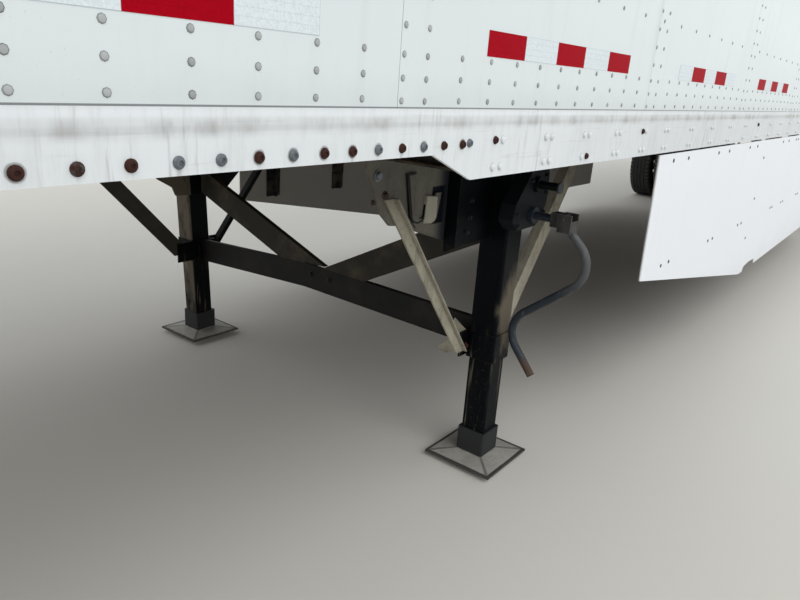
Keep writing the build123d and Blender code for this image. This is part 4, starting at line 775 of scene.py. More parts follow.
def roof_metal(name, bright, dark):
    """Roof sheet: rolled aluminium that sags a little between the bows, with faint soot in long patches."""
    f = Finish(name)
    sag = f.math("SINE", (f.x - back(0.0)) * (2 * math.pi / BOW_PITCH))
    lines = f.noise(140.0, (0.05, 1, 1), 2)
    soot = f.step(f.noise(1.6, (0.25, 1, 1), 5, 0.6), 0.30, 0.85)
    base = f.mix(soot * 0.22 + f.step(f.noise(30.0, detail=4), 0.5, 0.8) * 0.12, bright, dark)
    return f.paint(base, 0.58 + lines * 0.12 + soot * 0.08, 0.35, sag * 0.25 + lines * 0.05, 0.003, 0.4)


def fastener(name, metal, rust, dark):
    """Bolt heads: zinc or rust as the mesh's own number says, pitted where rusty, in dark and pale clouds."""
    f = Finish(name, specular_ior_level=0.25)
    clouds = f.noise(160.0, detail=4)
    patchy = f.step(clouds * 0.55 + f.value("rust"), 0.62, 0.95)
    pits = f.step(f.noise(380.0, detail=2), 0.52, 0.66) * patchy
    base = f.mix(f.step(clouds, 0.40, 0.65) * 0.35, metal, dark)
    base = f.mix(patchy, base, rust)
    base = f.mix(pits * 0.5, base, scaled(rust, 0.35))
    return f.paint(base, 0.46 + patchy * 0.35, 0.35 - patchy * 0.35, clouds * (0.4 + patchy), 0.0008, 0.7)


def rivet_metal(name, metal, dark):
    """Aluminium rivet heads, dulled, each with its own tone, in a thin dark ring of dirt and painted shade.
    """
    f = Finish(name, specular_ior_level=0.3)
    tone = f.noise(11.0, detail=1)
    fine = f.noise(400.0, detail=2)
    base = f.mix(f.step(tone, 0.35, 0.65) * 0.5 + fine * 0.2, metal, dark)
    # The ring at each head's foot: dirt and painted shade
    base = f.mix(f.value("ring") * (0.45 + tone * 0.6), base, scaled(dark, 0.35))
    return f.paint(base, 0.45 + fine * 0.2, 0.15, fine, 0.0002, 0.4)


def painted_head(name, white, grime_and_shade):
    """Painted rivet heads with a ring of grime and painted shade under them."""
    f = Finish(name, specular_ior_level=0.5)
    clouds = f.noise(60.0, detail=3)
    # Ring under each head: grime and painted shade
    base = f.mix(f.step(clouds, 0.45, 0.72) * 0.25 + f.value("ring") * 0.5, white, grime_and_shade)
    return f.paint(base, 0.32 + clouds * 0.15, None, clouds, 0.0003, 0.4)


def reflective_tape(name, red, white, thread):
    """Retroreflective tape: red and white blocks as the mesh says, small cells under a clear face, seams
    between rows of cells and a grey rim round each white block."""
    f = Finish(name, roughness=0.45, specular_ior_level=0.02)
    line = f.step(f.cells(260.0, (1, 0, 1)), 0.46, 0.62)
    weld = f.step(f.size_of(f.math("FRACT", f.z / 0.0127 + 0.3) - 0.5), 0.42, 0.47)
    rim = f.step(f.value("inset"), 0.0011, 0.0003)
    pale = f.mix(f.greater(line * 0.20 + weld * 0.20, rim * 0.8), white, thread)
    deep = f.mix(line * 0.25 + weld * 0.2, red, scaled(red, 0.72))
    base = f.mix(f.value("red"), pale, deep)
    return f.paint(base, None, None, line * 0.4 + weld * 0.6, 0.0003, 0.4)


# Sizes and colours that a user may change


def length(name, description, default):
    """A length in metres that the panel shows."""
    return bpy.props.FloatProperty(name=name, description=description, default=default, min=0.0001, max=20.0,
                                   unit="LENGTH", precision=4)


def colour(name, description, default):
    """A colour that the panel shows."""
    return bpy.props.FloatVectorProperty(name=name, description=description, default=default, size=3, min=0.0,
                                         max=1.0, subtype="COLOR")


class TrailerSizes(bpy.types.PropertyGroup):
    """Sizes of the small pieces on the trailer."""

    rivet_radius: length("Rivet radius", "Radius of the wall rivet heads", 0.0052)
    rivet_pitch: length("Rivet pitch", "Spacing of the rivet columns along a panel", 0.1101)
    bolt_radius: length("Bolt radius", "Radius of the rail bolt heads", 0.0090)
    painted_radius: length("Painted rivet radius", "Radius of the painted rivet heads on the rail", 0.0085)
    tape_height: length("Tape height", "Height of the reflective tape", 0.0508)
    tape_block: length("Tape block", "Length of one colour of the tape", 0.160)
    groove_depth: length("Groove depth", "Depth of the tyre's tread grooves", 0.011)
    nut_radius: length("Wheel nut radius", "Radius over the corners of the wheel nuts", 0.019)
    gasket_width: length("Gasket width", "Width of the rubber seal round each door", 0.022)


class TrailerColours(bpy.types.PropertyGroup):
    """Colours of the trailer's finishes."""

    skin: colour("Skin", "White of the wall panels", (0.735, 0.79, 0.80))
    rail: colour("Rail", "White of the rails", (0.75, 0.78, 0.80))
    # Grime: road film, also darkened into painted shade lines, bands and rings
    grime_and_shade: colour("Grime", "Road film", (0.30, 0.29, 0.27))
    rust: colour("Rust", "Rusty steel", (0.042, 0.015, 0.010))
    black: colour("Black", "Black paint", (0.007, 0.008, 0.010))
    dust: colour("Dust", "Pale brown dust", (0.27, 0.22, 0.16))
    zinc: colour("Zinc", "Galvanised steel", (0.46, 0.47, 0.47))
    # Hanger: dusty grey darkened as painted shade of plates that lie in shade under the trailer
    hanger: colour("Hanger", "Dusty hanger plates", (0.130, 0.121, 0.098))
    brace: colour("Brace", "Cream road film on the braces", (0.38, 0.355, 0.280))
    tape_red: colour("Tape red", "Red of the tape", (0.385, 0.002, 0.011))
    tape_white: colour("Tape white", "White of the tape", (0.76, 0.82, 0.85))
    rubber: colour("Rubber", "Tyre rubber", (0.022, 0.022, 0.024))
    lamp: colour("Lamp", "Red lens", (0.42, 0.012, 0.012))
    amber: colour("Amber", "Amber lens", (0.62, 0.17, 0.01))
    floor: colour("Floor", "Pale floor", (0.63, 0.61, 0.56))


def sizes():
    """The trailer's sizes as the scene holds them."""
    return bpy.context.scene.trailer_sizes


def tint(name):
    """One of the trailer's colours as the scene holds it."""
    return tuple(getattr(bpy.context.scene.trailer_colours, name))


def finish(name, maker, *values, **more):
    """The finish of this name, made once, kept apart from the frame's plain colours by its ending."""
    name = f"{name}_finish"
    return bpy.data.materials.get(name) or maker(name, *values, **more)


def beam_paint():
    """Finish of the deck beams, the struts and the bogie."""
    return finish("beam_black", black_paint, tint("black"), tint("dust"), tint("rust"), 0.7, 0.6, 0.5)


def rivet_head():
    """Finish of the wall and nose rivets."""
    return finish("rivet_heads", rivet_metal, (0.46, 0.48, 0.48), (0.27, 0.28, 0.28))


def zinc_bolt():
    """Finish of the zinc bolts and nuts."""
    return finish("bolt_heads", fastener, (0.155, 0.175, 0.19), tint("rust"), (0.045, 0.052, 0.06))


# Pieces


class PieceOperator:
    """Shared settings of the operators that add pieces."""

    bl_options = {"REGISTER", "UNDO"}


class TRAILER_OT_finishes(PieceOperator, bpy.types.Operator):
    """Give every part of the frame its procedural finish"""

    bl_idname = "trailer.finishes"
    bl_label = "Finishes of the Frame"

    def looks(self):
        """The finish of every part, from a table of part names and their shared finish."""
        white, rail, grime_and_shade, rust, dust = (tint(name) for name in ("skin", "rail", "grime_and_shade", "rust", "dust"))
        galvanised = finish("galvanised", zinc, tint("zinc"), (0.30, 0.30, 0.28))
        table = (
            ("side_wall_left side_wall_right front_wall", finish("wall_skin", white_skin, white, grime_and_shade)),
            ("bottom_rails", finish("rail_paint", rail_paint, rail, grime_and_shade, rust)),
            ("top_rails front_frame", finish("frame_white", white_skin, rail, grime_and_shade, reach=0.3)),
            ("door_left door_right",
             finish("door_skin", white_skin, white, grime_and_shade, foot=FLOOR_TOP, reach=0.5)),
            ("wall_posts roof_bows rear_frame hinge_lugs underride_guard", galvanised),
            ("door_hardware_left door_hardware_right", galvanised),
            ("roof_sheet", finish("roof_metal", roof_metal, (0.66, 0.67, 0.68), (0.22, 0.22, 0.21))),
            ("deck_boards", finish("deck_wood", deck_wood, (0.40, 0.24, 0.12), (0.22, 0.115, 0.05))),
            ("deck_beams coupler_frame skirt_struts bogie_frame leaf_springs air_tank", beam_paint()),
            ("coupler_plate",
             finish("coupler_face", coupler_face, (0.10, 0.09, 0.08), (0.010, 0.009, 0.008), rust)),
            ("kingpin", finish("pin_steel", bare_metal, (0.50, 0.49, 0.47), (0.06, 0.05, 0.045))),
            ("nose_connectors",
             finish("connector_metal", gear_paint, (0.17, 0.18, 0.19), (0.05, 0.05, 0.05), dust)),
            # The legs' navy black is darkened below that of paint, as painted shade on the tubes
            ("leg_tube_left leg_tube_right inner_legs cross_shaft",
             finish("leg_paint", leg_paint, (0.0022, 0.0032, 0.0044), (0.165, 0.140, 0.105),
                    (0.060, 0.036, 0.022), (0.020, 0.024, 0.028))),
            ("leg_brace_left",
             finish("brace_film", dusty_steel, tint("brace"), (0.15, 0.13, 0.095), rust, 0.1)),
            ("leg_brace_right",
             finish("far_brace", far_paint, (0.050, 0.047, 0.040), (0.006, 0.006, 0.007), rust)),
            # Hanger plates: their grey and stain are darkened as painted shade
            ("leg_hangers", finish("hanger_plate", dusty_steel, tint("hanger"), (0.075, 0.068, 0.055), rust,
                                   fade=(3.235, 3.300))),
            ("cross_beam", finish("cross_beam_paint", black_paint, (0.009, 0.0095, 0.0095), dust, rust,
                                  0.16, 0.5, 0.55, 0.0)),
            ("knee_braces", finish("knee_paint", black_paint, (0.030, 0.027, 0.022), (0.21, 0.17, 0.12), rust,
                                   0.75, 0.4, 0.6, 0.0)),
            ("sand_shoes",
             finish("shoe_steel", shoe_steel, (0.34, 0.33, 0.295), (0.008, 0.009, 0.011), rust)),
            ("gear_housing",
             finish("gear_case", gear_paint, (0.0055, 0.0075, 0.0105), (0.0020, 0.0026, 0.0034), dust)),
            ("crank", finish("crank_paint", crank_paint, (0.013, 0.018, 0.026), (0.088, 0.092, 0.094),
                             (0.070, 0.040, 0.026))),
            ("side_skirt_left side_skirt_right",
             finish("skirt_skin", skirt_skin, (0.86, 0.885, 0.925), grime_and_shade)),
            ("axle_front axle_rear",
             finish("axle_black", black_paint, (0.014, 0.014, 0.014), dust, rust, 0.8, 0.7, 0.55)),
            ("wheel_front_left wheel_front_right wheel_rear_left wheel_rear_right",
             finish("rim_paint", rim_paint, (0.58, 0.59, 0.59), (0.20, 0.18, 0.15), rust)),
            ("dock_bumpers mud_flaps", finish("rubber_face", rubber_face, (0.020, 0.020, 0.021), dust)),
            ("lamps", finish("red_lens", lens, tint("lamp"), (0.75, 0.14, 0.08), tint("amber"))),
        )
        return {name: look for names, look in table for name in names.split()}

    def execute(self, context):
        looks = self.looks()
        for name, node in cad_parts.items():
            if name.startswith("tyres_"):
                continue
            if name not in looks:
                raise RuntimeError(f"no finish for {name}")
            node.data.materials.clear()
            node.data.materials.append(looks[name])
        return {"FINISHED"}


class TRAILER_OT_wall_rivets(PieceOperator, bpy.types.Operator):
    """Add the rivet rows and columns of both side walls and the nose"""

    bl_idname = "trailer.wall_rivets"
    bl_label = "Wall Rivets"

    # Height of a rivet's crown
    CROWN = 0.0024
    # Distances behind the nose of the columns that show best, and how far a regular column moves to one
    SEEN_COLUMNS = np.array([1.8205, 1.929, 2.0455, 2.155, 2.269, 2.377])
    SEEN_REACH = 0.02
    # A panel's columns start and end this far from its joints
    PANEL_START = 0.196
    PANEL_END = 0.040
    # Heights of the three rivets at a panel's foot and at a joint's foot
    FOOT_ROWS = (1.392, 1.432, 1.472)
    JOINT_ROWS = (1.390, 1.429, 1.469)
    # Height where a joint's upper rivets start, and their spacing up the wall
    JOINT_START = 1.517
    JOINT_PITCH = 0.053
    # Height of the row above the tape, its spacing along the wall and its clearance from a joint's columns
    HIGH_ROW = 1.649
    HIGH_PITCH = 0.175
    JOINT_CLEAR = 0.030
    # Spacing of the nose's rivets up the wall, and how many its head and foot rows have
    NOSE_PITCH = 0.106
    NOSE_ROW = 22

    def wall_places(self, pitch):
        """Distances behind the nose and heights of a wall's rivets: columns of three between the joints,
        two columns up each joint, and a row above the tape that leaves the joints out."""
        starts = np.concatenate([[NOSE_JOINT], PANEL_JOINTS])
        ends = np.concatenate([PANEL_JOINTS, [LENGTH - 0.115]])
        columns = np.concatenate([np.arange(start + self.PANEL_START, end - self.PANEL_END, pitch)
                                  for start, end in zip(starts, ends)])
        near = np.abs(columns[:, None] - self.SEEN_COLUMNS)
        columns = np.where(near.min(1) < self.SEEN_REACH, self.SEEN_COLUMNS[near.argmin(1)], columns)
        upper = np.arange(self.JOINT_START, TOP_RAIL_FOOT - 0.02, self.JOINT_PITCH)
        seams = np.concatenate([PANEL_JOINTS + SEAM_FRONT, PANEL_JOINTS + SEAM_REAR, [LENGTH - 0.130]])
        joints = every_pair(seams, np.concatenate([self.JOINT_ROWS, upper]))
        high = every_pair(np.arange(0.30, LENGTH - 0.25, self.HIGH_PITCH), [self.HIGH_ROW])
        clear = np.abs(high[:, :1] - seams).min(1) >= self.JOINT_CLEAR
        return np.concatenate([every_pair(columns, self.FOOT_ROWS), joints, high[clear]])

    def nose_places(self, low, high):
        """Y and z of the nose wall's rivets: two close pairs of columns, a row at its head and foot and a
        column up each edge."""
        third = high.y * 2 / 3
        across = np.add.outer((-third / 2, third / 2), (-0.02, 0.02)).ravel()
        inner = every_pair(across, np.arange(low.z + 0.04, high.z - 0.02, self.NOSE_PITCH))
        ends = every_pair(np.linspace(low.y + 0.03, high.y - 0.03, self.NOSE_ROW),
                          [low.z + 0.022, high.z - 0.022])
        edges = every_pair([low.y + 0.014, high.y - 0.014],
                           np.arange(low.z + 0.08, high.z - 0.05, self.NOSE_PITCH))
        return np.concatenate([inner, ends, edges])

    def execute(self, context):
        radius, pitch = sizes().rivet_radius, sizes().rivet_pitch
        wall = self.wall_places(pitch)
        rail = every_pair(np.arange(0.16, LENGTH - 0.15, pitch), [TOP_RAIL_FOOT + 0.028, ROOF_TOP - 0.030])
        for side, sign in SIDES:
            spots = np.concatenate([side_spots(wall, sign * WALL_OUT),
                                    side_spots(rail, sign * (HALF_WIDTH - 0.003))])
            lay_rivets(f"wall_rivets_{side}", radius, self.CROWN, spots, OUTWARD[sign], rivet_head())
        low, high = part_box("front_wall")
        flat = self.nose_places(low, high)
        spots = np.column_stack([np.full(len(flat), high.x), flat])
        lay_rivets("nose_rivets", radius, self.CROWN, spots, FORWARD, rivet_head())
        return {"FINISHED"}


class TRAILER_OT_rail_bolts(PieceOperator, bpy.types.Operator):
    """Add the bolts of the shallow rail and the painted rivets of the deep rail"""

    bl_idname = "trailer.rail_bolts"
    bl_label = "Rail Bolts"

    # Rust of the bolts from the row's start back to the notch, 0 clean to 1 all rust
    SEEN = (1.0, 0.62, 1.0, 0.0, 0.05, 1.0, 0.10, 1.0, 1.0, 0.12, 0.75, 0.15, 0.95, 1.0)
    # Rust that a bolt out of view may have
    RUSTS = (0.0, 0.1, 0.6, 0.95, 1.0)
    # The row's foremost bolt stands this far behind the nose or a little more
    FIRST_BOLT = 0.14
    # Distance behind the nose, height and rust of the bolt beside the notch
    NOTCH_BOLT = (2.717, BOLT_HEIGHT + 0.002)
    NOTCH_RUST = 0.1
    # Distances behind the nose of the first deck beams behind the notch
    SEEN_BEAMS = (2.8385, 3.085, 3.3166, 3.5482, 3.7798, 4.0114)
    # Rivets on a beam by shift along the rail and height, and the rust of the beam's rivets that are bolts
    PAIRS = ((-0.0165, 1.312), (0.0165, 1.312), (-0.0165, 1.253), (0.0165, 1.253))
    RUSTY = {(0, 0): 0.95, (2, 3): 0.9, (4, 0): 0.85, (10, 0): 0.85}
    # Height of a painted rivet's crown
    PAINTED_CROWN = 0.0060

    def execute(self, context):
        draw = np.random.default_rng(31)
        more = np.arange(self.SEEN_BEAMS[-1] + BEAM_PITCH, LENGTH - 0.18, BEAM_PITCH)
        beams = np.concatenate([self.SEEN_BEAMS, more])
        pairs = {(n, k): (beam + shift, z)
                 for n, beam in enumerate(beams) for k, (shift, z) in enumerate(self.PAIRS)}
        riveted = [place for key, place in pairs.items() if key not in self.RUSTY]
        ahead = int((ROW_START - self.FIRST_BOLT) / BOLT_PITCH)
        row = ROW_START + BOLT_PITCH * np.arange(-ahead, len(self.SEEN))
        bolted = [(place, BOLT_HEIGHT) for place in row] + [self.NOTCH_BOLT]
        bolted += [pairs[key] for key in self.RUSTY]
        painted = finish("painted_rivets", painted_head, tint("rail"), tint("grime_and_shade"))
        for side, sign in SIDES:
            rust = draw.choice(self.RUSTS, len(row))
            if sign > 0:
                rust[-len(self.SEEN):] = self.SEEN
            rust = np.concatenate([rust, [self.NOTCH_RUST], list(self.RUSTY.values())])
            bolts = Bolts()
            spots = side_spots(bolted, sign * HALF_WIDTH)
            bolts.add(round_bolt(sizes().bolt_radius), spots, OUTWARD[sign], rust)
            bolts.lay(f"rail_bolts_{side}")
            lay_rivets(f"rail_rivets_{side}", sizes().painted_radius, self.PAINTED_CROWN,
                       side_spots(riveted, sign * HALF_WIDTH), OUTWARD[sign], painted, 12)
        return {"FINISHED"}


# Tape: each row's distance from the block's edge and share of the thickness, the thickness and the gap
TAPE_ROWS = ((0.0, 0.0), (0.0, 1.0), (0.0007, 1.0), (0.0011, 1.0))
TAPE_THICK = 0.0006
TAPE_GAP = 0.0002


def tape_blocks(starts, reds, pitch, low, height):
    """Blocks of tape as flat plates along x with their height in y and their thickness in z: rows of four
    corners from the base up and in from the edge. The mesh keeps each point's redness and its distance from
    the edge."""
    inward, up = np.array(TAPE_ROWS).T
    corner = np.array([(0, 0), (1, 0), (1, 1), (0, 1)], float)
    drawn = inward[:, None, None]
    span = corner * (np.array([pitch - TAPE_GAP, height]) - 2 * drawn) + drawn
    points = np.dstack([span, np.repeat(up[:, None] * TAPE_THICK, 4, 1)])
    plate = Form(points, capped_faces(len(up), 4))
    form = plate.copied([(start, low, 0.0) for start in starts])
    return form, {"red": np.repeat(reds, len(plate.points)).astype(float),
                  "inset": np.tile(np.repeat(inward, 4), len(starts))}


class TRAILER_OT_tape(PieceOperator, bpy.types.Operator):
    """Add the red and white tape along the walls and across the rear"""

    bl_idname = "trailer.tape"
    bl_label = "Reflective Tape"

    # Height of the wall tape's lower edge, its start behind each joint, and the blocks of each length of tape
    LOW = 1.482
    AFTER_JOINT = 0.286
    WALL_BLOCKS = 5
    GUARD_BLOCKS = 14
    DOOR_BLOCKS = 7

    def execute(self, context):
        tape = finish("reflective_tape", reflective_tape, tint("tape_red"), tint("tape_white"),
                      (0.45, 0.50, 0.54))
        height, block = sizes().tape_height, sizes().tape_block
        first = PANEL_JOINTS + self.AFTER_JOINT
        first = first[first + self.WALL_BLOCKS * block <= LENGTH - 0.12]
        starts = np.add.outer(first, block * np.arange(self.WALL_BLOCKS))
        reds = np.add.outer(np.arange(len(first)), np.arange(self.WALL_BLOCKS)) % 2
        form, values = tape_blocks(starts.ravel(), reds.ravel(), block, self.LOW, height)
        x, z, up = form.points.T
        for side, sign in SIDES:
            points = np.column_stack([back(x), sign * (WALL_OUT + up), z])
            lay(f"wall_tape_{side}", form.moved(points, sign < 0), tape, values=values)

        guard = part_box("underride_guard")[0]
        count = np.arange(self.GUARD_BLOCKS)
        starts = block * (count - self.GUARD_BLOCKS // 2)
        form, values = tape_blocks(starts, count % 2, block, guard.z + 0.025, height)
        y, z, up = form.points.T
        points = np.column_stack([guard.x - up, y, z])
        lay("guard_tape", form.moved(points, True), tape, values=values)

        count = np.arange(self.DOOR_BLOCKS)
        for side, sign in SIDES:
            low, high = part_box(f"door_{side}")
            inner = min(abs(low.y), abs(high.y)) + 0.04
            form, values = tape_blocks(inner + block * count, count % 2, block, low.z + 0.06, height)
            y, z, up = form.points.T
            points = np.column_stack([DOOR_FACE - up, sign * y, z])
            lay(f"door_tape_{side}", form.moved(points, sign > 0), tape, f"door_{side}",
                values=values)
        return {"FINISHED"}


# Tyre section as distances from its middle and radii, and the cuts of its tread
TYRE_HALF = 0.1425
TYRE_CROWN = 0.505
TYRE_SIDE = ((0.1085, 0.2885), (0.1120, 0.297), (0.1190, 0.303), (0.1275, 0.322), (0.1285, 0.326),
             (0.1345, 0.350), (0.1395, 0.380), (0.1412, 0.392), (TYRE_HALF, 0.400), (0.1415, 0.430),
             (0.1400, 0.445), (0.1375, 0.458))
TYRE_SHOULDER = ((0.1350, 0.468), (0.1325, 0.480), (0.1280, 0.492), (0.1215, 0.4995), (0.1130, 0.5030))
GROOVES = (0.070, 0.0235)
GROOVE_OUTER = 0.5036
GROOVE_INNER = 0.5040
TREAD_PITCHES = 56
PITCH_PARTS = 4
SLOT_DEPTH = 0.0060
SLOT_NARROWING = 0.022


def tyre_form(middle, groove_depth):
    """Tyre carried round the axle: the section's outline gives the width y and the radius r, and a point is
    (r cos a, y, r sin a). Four grooves drop the tread, and in one part of four of each tread pitch the
    shoulder drops by a slot. Also gives how deep in a groove or slot each point lies, from 0 to 1."""
    tread = []
    for groove in GROOVES:
        tread += [(groove + 0.0055, GROOVE_OUTER, 0), (groove + 0.0035, GROOVE_OUTER - groove_depth, 1),
                  (groove - 0.0035, GROOVE_OUTER - groove_depth, 1), (groove - 0.0055, GROOVE_INNER, 0)]
    outline = [(y, r, 0, 0) for y, r in TYRE_SIDE] + [(y, r, 0, 1) for y, r in TYRE_SHOULDER]
    outline += [(y, r, depth, 0) for y, r, depth in tread]
    outline += [(0.0, TYRE_CROWN, 0, 0)] + [(-y, r, depth, slot) for y, r, depth, slot in outline[::-1]]
    y, r, groove, slot = np.array(outline).T
    count = TREAD_PITCHES * PITCH_PARTS
    angle = np.linspace(0, 2 * math.pi, count, endpoint=False)
    cut = np.outer(slot, np.arange(count) % PITCH_PARTS == 0)
    radius = r[:, None] - SLOT_DEPTH * cut
    width = y[:, None] * (1 - SLOT_NARROWING * cut)
    points = np.stack([radius * np.cos(angle), middle + width, radius * np.sin(angle)], -1)
    deep = np.clip(groove[:, None] + cut, 0, 1)
    return Form(points, [grid_faces(len(outline), count, True, True)]), deep.ravel()


class TRAILER_OT_tyres(PieceOperator, bpy.types.Operator):
    """Add the tyres with their tread, in place of the plain rings"""

    bl_idname = "trailer.tyres"
    bl_label = "Tyres"

    def execute(self, context):
        rubber = finish("tyre_rubber", tyre_rubber, tint("rubber"), (0.20, 0.18, 0.15))
        for axle in AXLES:
            for side, _ in SIDES:
                node = f"tyres_{axle}_{side}"
                low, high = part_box(node)
                apart = (high.y - low.y) / 2 - TYRE_HALF
                right, right_deep = tyre_form(-apart, sizes().groove_depth)
                left, left_deep = tyre_form(apart, sizes().groove_depth)
                form = (right + left).copied([(low + high) / 2])
                piece = lay(f"tread_{axle}_{side}", form, rubber, f"wheels_{axle}_{side}", 35.0,
                            {"groove": np.concatenate([right_deep, left_deep])})
                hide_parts(node)
        return {"FINISHED"}


class TRAILER_OT_wheel_fittings(PieceOperator, bpy.types.Operator):
    """Add the wheel nuts, the hub caps and their bolts"""

    bl_idname = "trailer.wheel_fittings"
    bl_label = "Wheel Fittings"

    # Nuts, then cap bolts: radius of their circle, count, rust, and distance of disc or cap from the middle;
    # the nuts' rust also darkens them as painted shade of the hub
    NUT_CIRCLE = 0.1429
    NUTS = 10
    NUT_RUSTS_AND_SHADE = (0.1, 0.5, 0.8)
    DISC_OUT = 0.996
    CAP_CIRCLE = 0.071
    CAP_BOLTS = 6
    CAP_OUT = 1.118
    CAP_RUST = 0.15
    # Section of the hub cap as radii and heights
    CAP = ((0.074, -0.004), (0.078, 0.0), (0.078, 0.006), (0.064, 0.010), (0.058, 0.026), (0.046, 0.034),
           (0.026, 0.036), (0.024, 0.033))

    def execute(self, context):
        nut = hex_nut(sizes().nut_radius, 0.024, 0.010)
        cap = turned(self.CAP, 40)
        draw = np.random.default_rng(7)
        for axle in AXLES:
            for side, sign in SIDES:
                low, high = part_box(f"wheel_{axle}_{side}")
                centre = (low + high) / 2
                hub = sign * min(abs(high.y if sign > 0 else low.y), self.CAP_OUT)
                nuts = circle_spots(centre, self.NUT_CIRCLE, self.NUTS, sign * self.DISC_OUT,
                                    draw.uniform(0, 0.6))
                heads = circle_spots(centre, self.CAP_CIRCLE, self.CAP_BOLTS, hub + sign * 0.004)
                fittings = Bolts()
                fittings.add(nut, nuts, OUTWARD[sign], draw.choice(self.NUT_RUSTS_AND_SHADE, self.NUTS))
                fittings.add(cap, [(centre.x, hub - sign * 0.002, centre.z)], OUTWARD[sign], self.CAP_RUST)
                fittings.add(dome(0.0055, 0.004), heads, OUTWARD[sign], self.CAP_RUST)
                fittings.lay(f"wheel_fittings_{axle}_{side}", body=f"wheels_{axle}_{side}")
        return {"FINISHED"}


class TRAILER_OT_leg_fittings(PieceOperator, bpy.types.Operator):
    """Add the landing gear's bolts, its hanger plates' lips and tabs, and dark sheets of painted shade behind
    them
    """

    bl_idname = "trailer.leg_fittings"
    bl_label = "Landing Gear Fittings"

    # Faces that the pieces stand on, as distances from the trailer's middle
    PLATE_FACE = 0.846
    HANGER_OUT = 0.847
    BRACKET_OUT = 0.895
    BRACE_OUT = 0.853
    CASE_OUT = 1.018
    # Distance behind the nose, height, radius, sides and rust of the bolts on a hanger plate
    HANGER_BOLTS = ((2.965, 1.159, 0.0125, 16, -0.2), (3.002, 1.101, 0.0095, 16, 0.6),
                    (2.949, 1.085, 0.0060, 12, 0.6))
    # Distance behind the nose and height of the bolts on the bracket behind the plate
    BRACKET_BOLTS = ((3.400, 1.056), (3.396, 0.999), (3.386, 0.949))
    # Distance behind the nose and height of the bolt at the lower end of each front brace
    BRACE_END = 3.528
    BRACE_HEIGHTS = {"left": 0.485, "right": 0.492}
    # Y and z of the bolts through the cross beam's lap
    LAP_BOLTS = ((-0.0275, 0.548), (0.0865, 0.546))
    # Distance behind the nose and height of the gear case's bolts
    CASE_BOLTS = ((3.494, 1.017), (3.508, 0.975), (3.624, 0.977), (3.684, 1.009), (3.690, 1.075),
                  (3.678, 1.137), (3.658, 1.173), (3.600, 1.173), (3.572, 1.125))
    # Distance behind the nose and height of the slot's lip and of the tab beside it
    SLOT = ((3.139, 1.157), (3.096, 1.156), (3.110, 1.090), (3.125, 1.024), (3.143, 1.006), (3.166, 1.000),
            (3.187, 1.006), (3.198, 1.022), (3.202, 1.069))
    TAB = ((3.200, 1.083), (3.258, 1.076), (3.260, 1.010), (3.252, 0.998), (3.238, 0.991), (3.188, 0.996),
           (3.196, 1.016))

    def execute(self, context):
        small = hex_bolt(0.0095)
        bolts, dark = Bolts(), Bolts()
        for side, sign in SIDES:
            out = OUTWARD[sign]
            for place, height, radius, sides, rust in self.HANGER_BOLTS:
                spot = side_spots([(place, height)], sign * self.HANGER_OUT)
                bolts.add(hex_bolt(radius, sides), spot, out, rust)
            foot = side_spots([(self.BRACE_END, self.BRACE_HEIGHTS[side])], sign * self.BRACE_OUT)
            bolts.add(small, foot, out, 0.9)
            dark.add(hex_bolt(0.0070, 12), side_spots(self.BRACKET_BOLTS, sign * self.BRACKET_OUT), out, 0.3)
        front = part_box("cross_beam")[1].x
        dark.add(small, [(front, y, z) for y, z in self.LAP_BOLTS], FORWARD, 0.3)
        dark.add(hex_bolt(0.0062, 12), side_spots(self.CASE_BOLTS, self.CASE_OUT), OUTWARD[1.0], 0.3)
        dark.lay("dark_bolts", finish("dark_bolts", fastener, (0.020, 0.021, 0.023), (0.016, 0.010, 0.008),
                                      (0.006, 0.006, 0.007)))
        bolts.lay("leg_bolts")

        # Painted shade: near black navy sheets 8 mm inboard of each hanger plate's face, darkening what shows
        # behind the plate
        shade_sheets = [plate_form(back(3.222), back(3.330), sign * 0.8345, sign * 0.8385, 0.968, 1.122)
                   for _, sign in SIDES]
        lips = [strip(self.SLOT, 0.0050, self.PLATE_FACE, 0.8545).sided(sign) for _, sign in SIDES]
        tabs = [flat_plate(self.TAB, self.PLATE_FACE, 0.8575).sided(sign) for _, sign in SIDES]
        navy = finish("pocket_navy", black_paint, (0.004, 0.006, 0.011), tint("dust"), tint("rust"), 0.2, 0.3)
        cream = finish("tab_cream", dusty_steel, (0.34, 0.32, 0.26), (0.20, 0.18, 0.145), tint("rust"))
        for name, forms, look, slot in (("hanger_pockets", shade_sheets, navy, "leg_black"),
                                        ("slot_lips", lips, navy, "leg_black"),
                                        ("hanger_tabs", tabs, cream, "galvanised")):
            lay(name, together(forms), look)
        return {"FINISHED"}


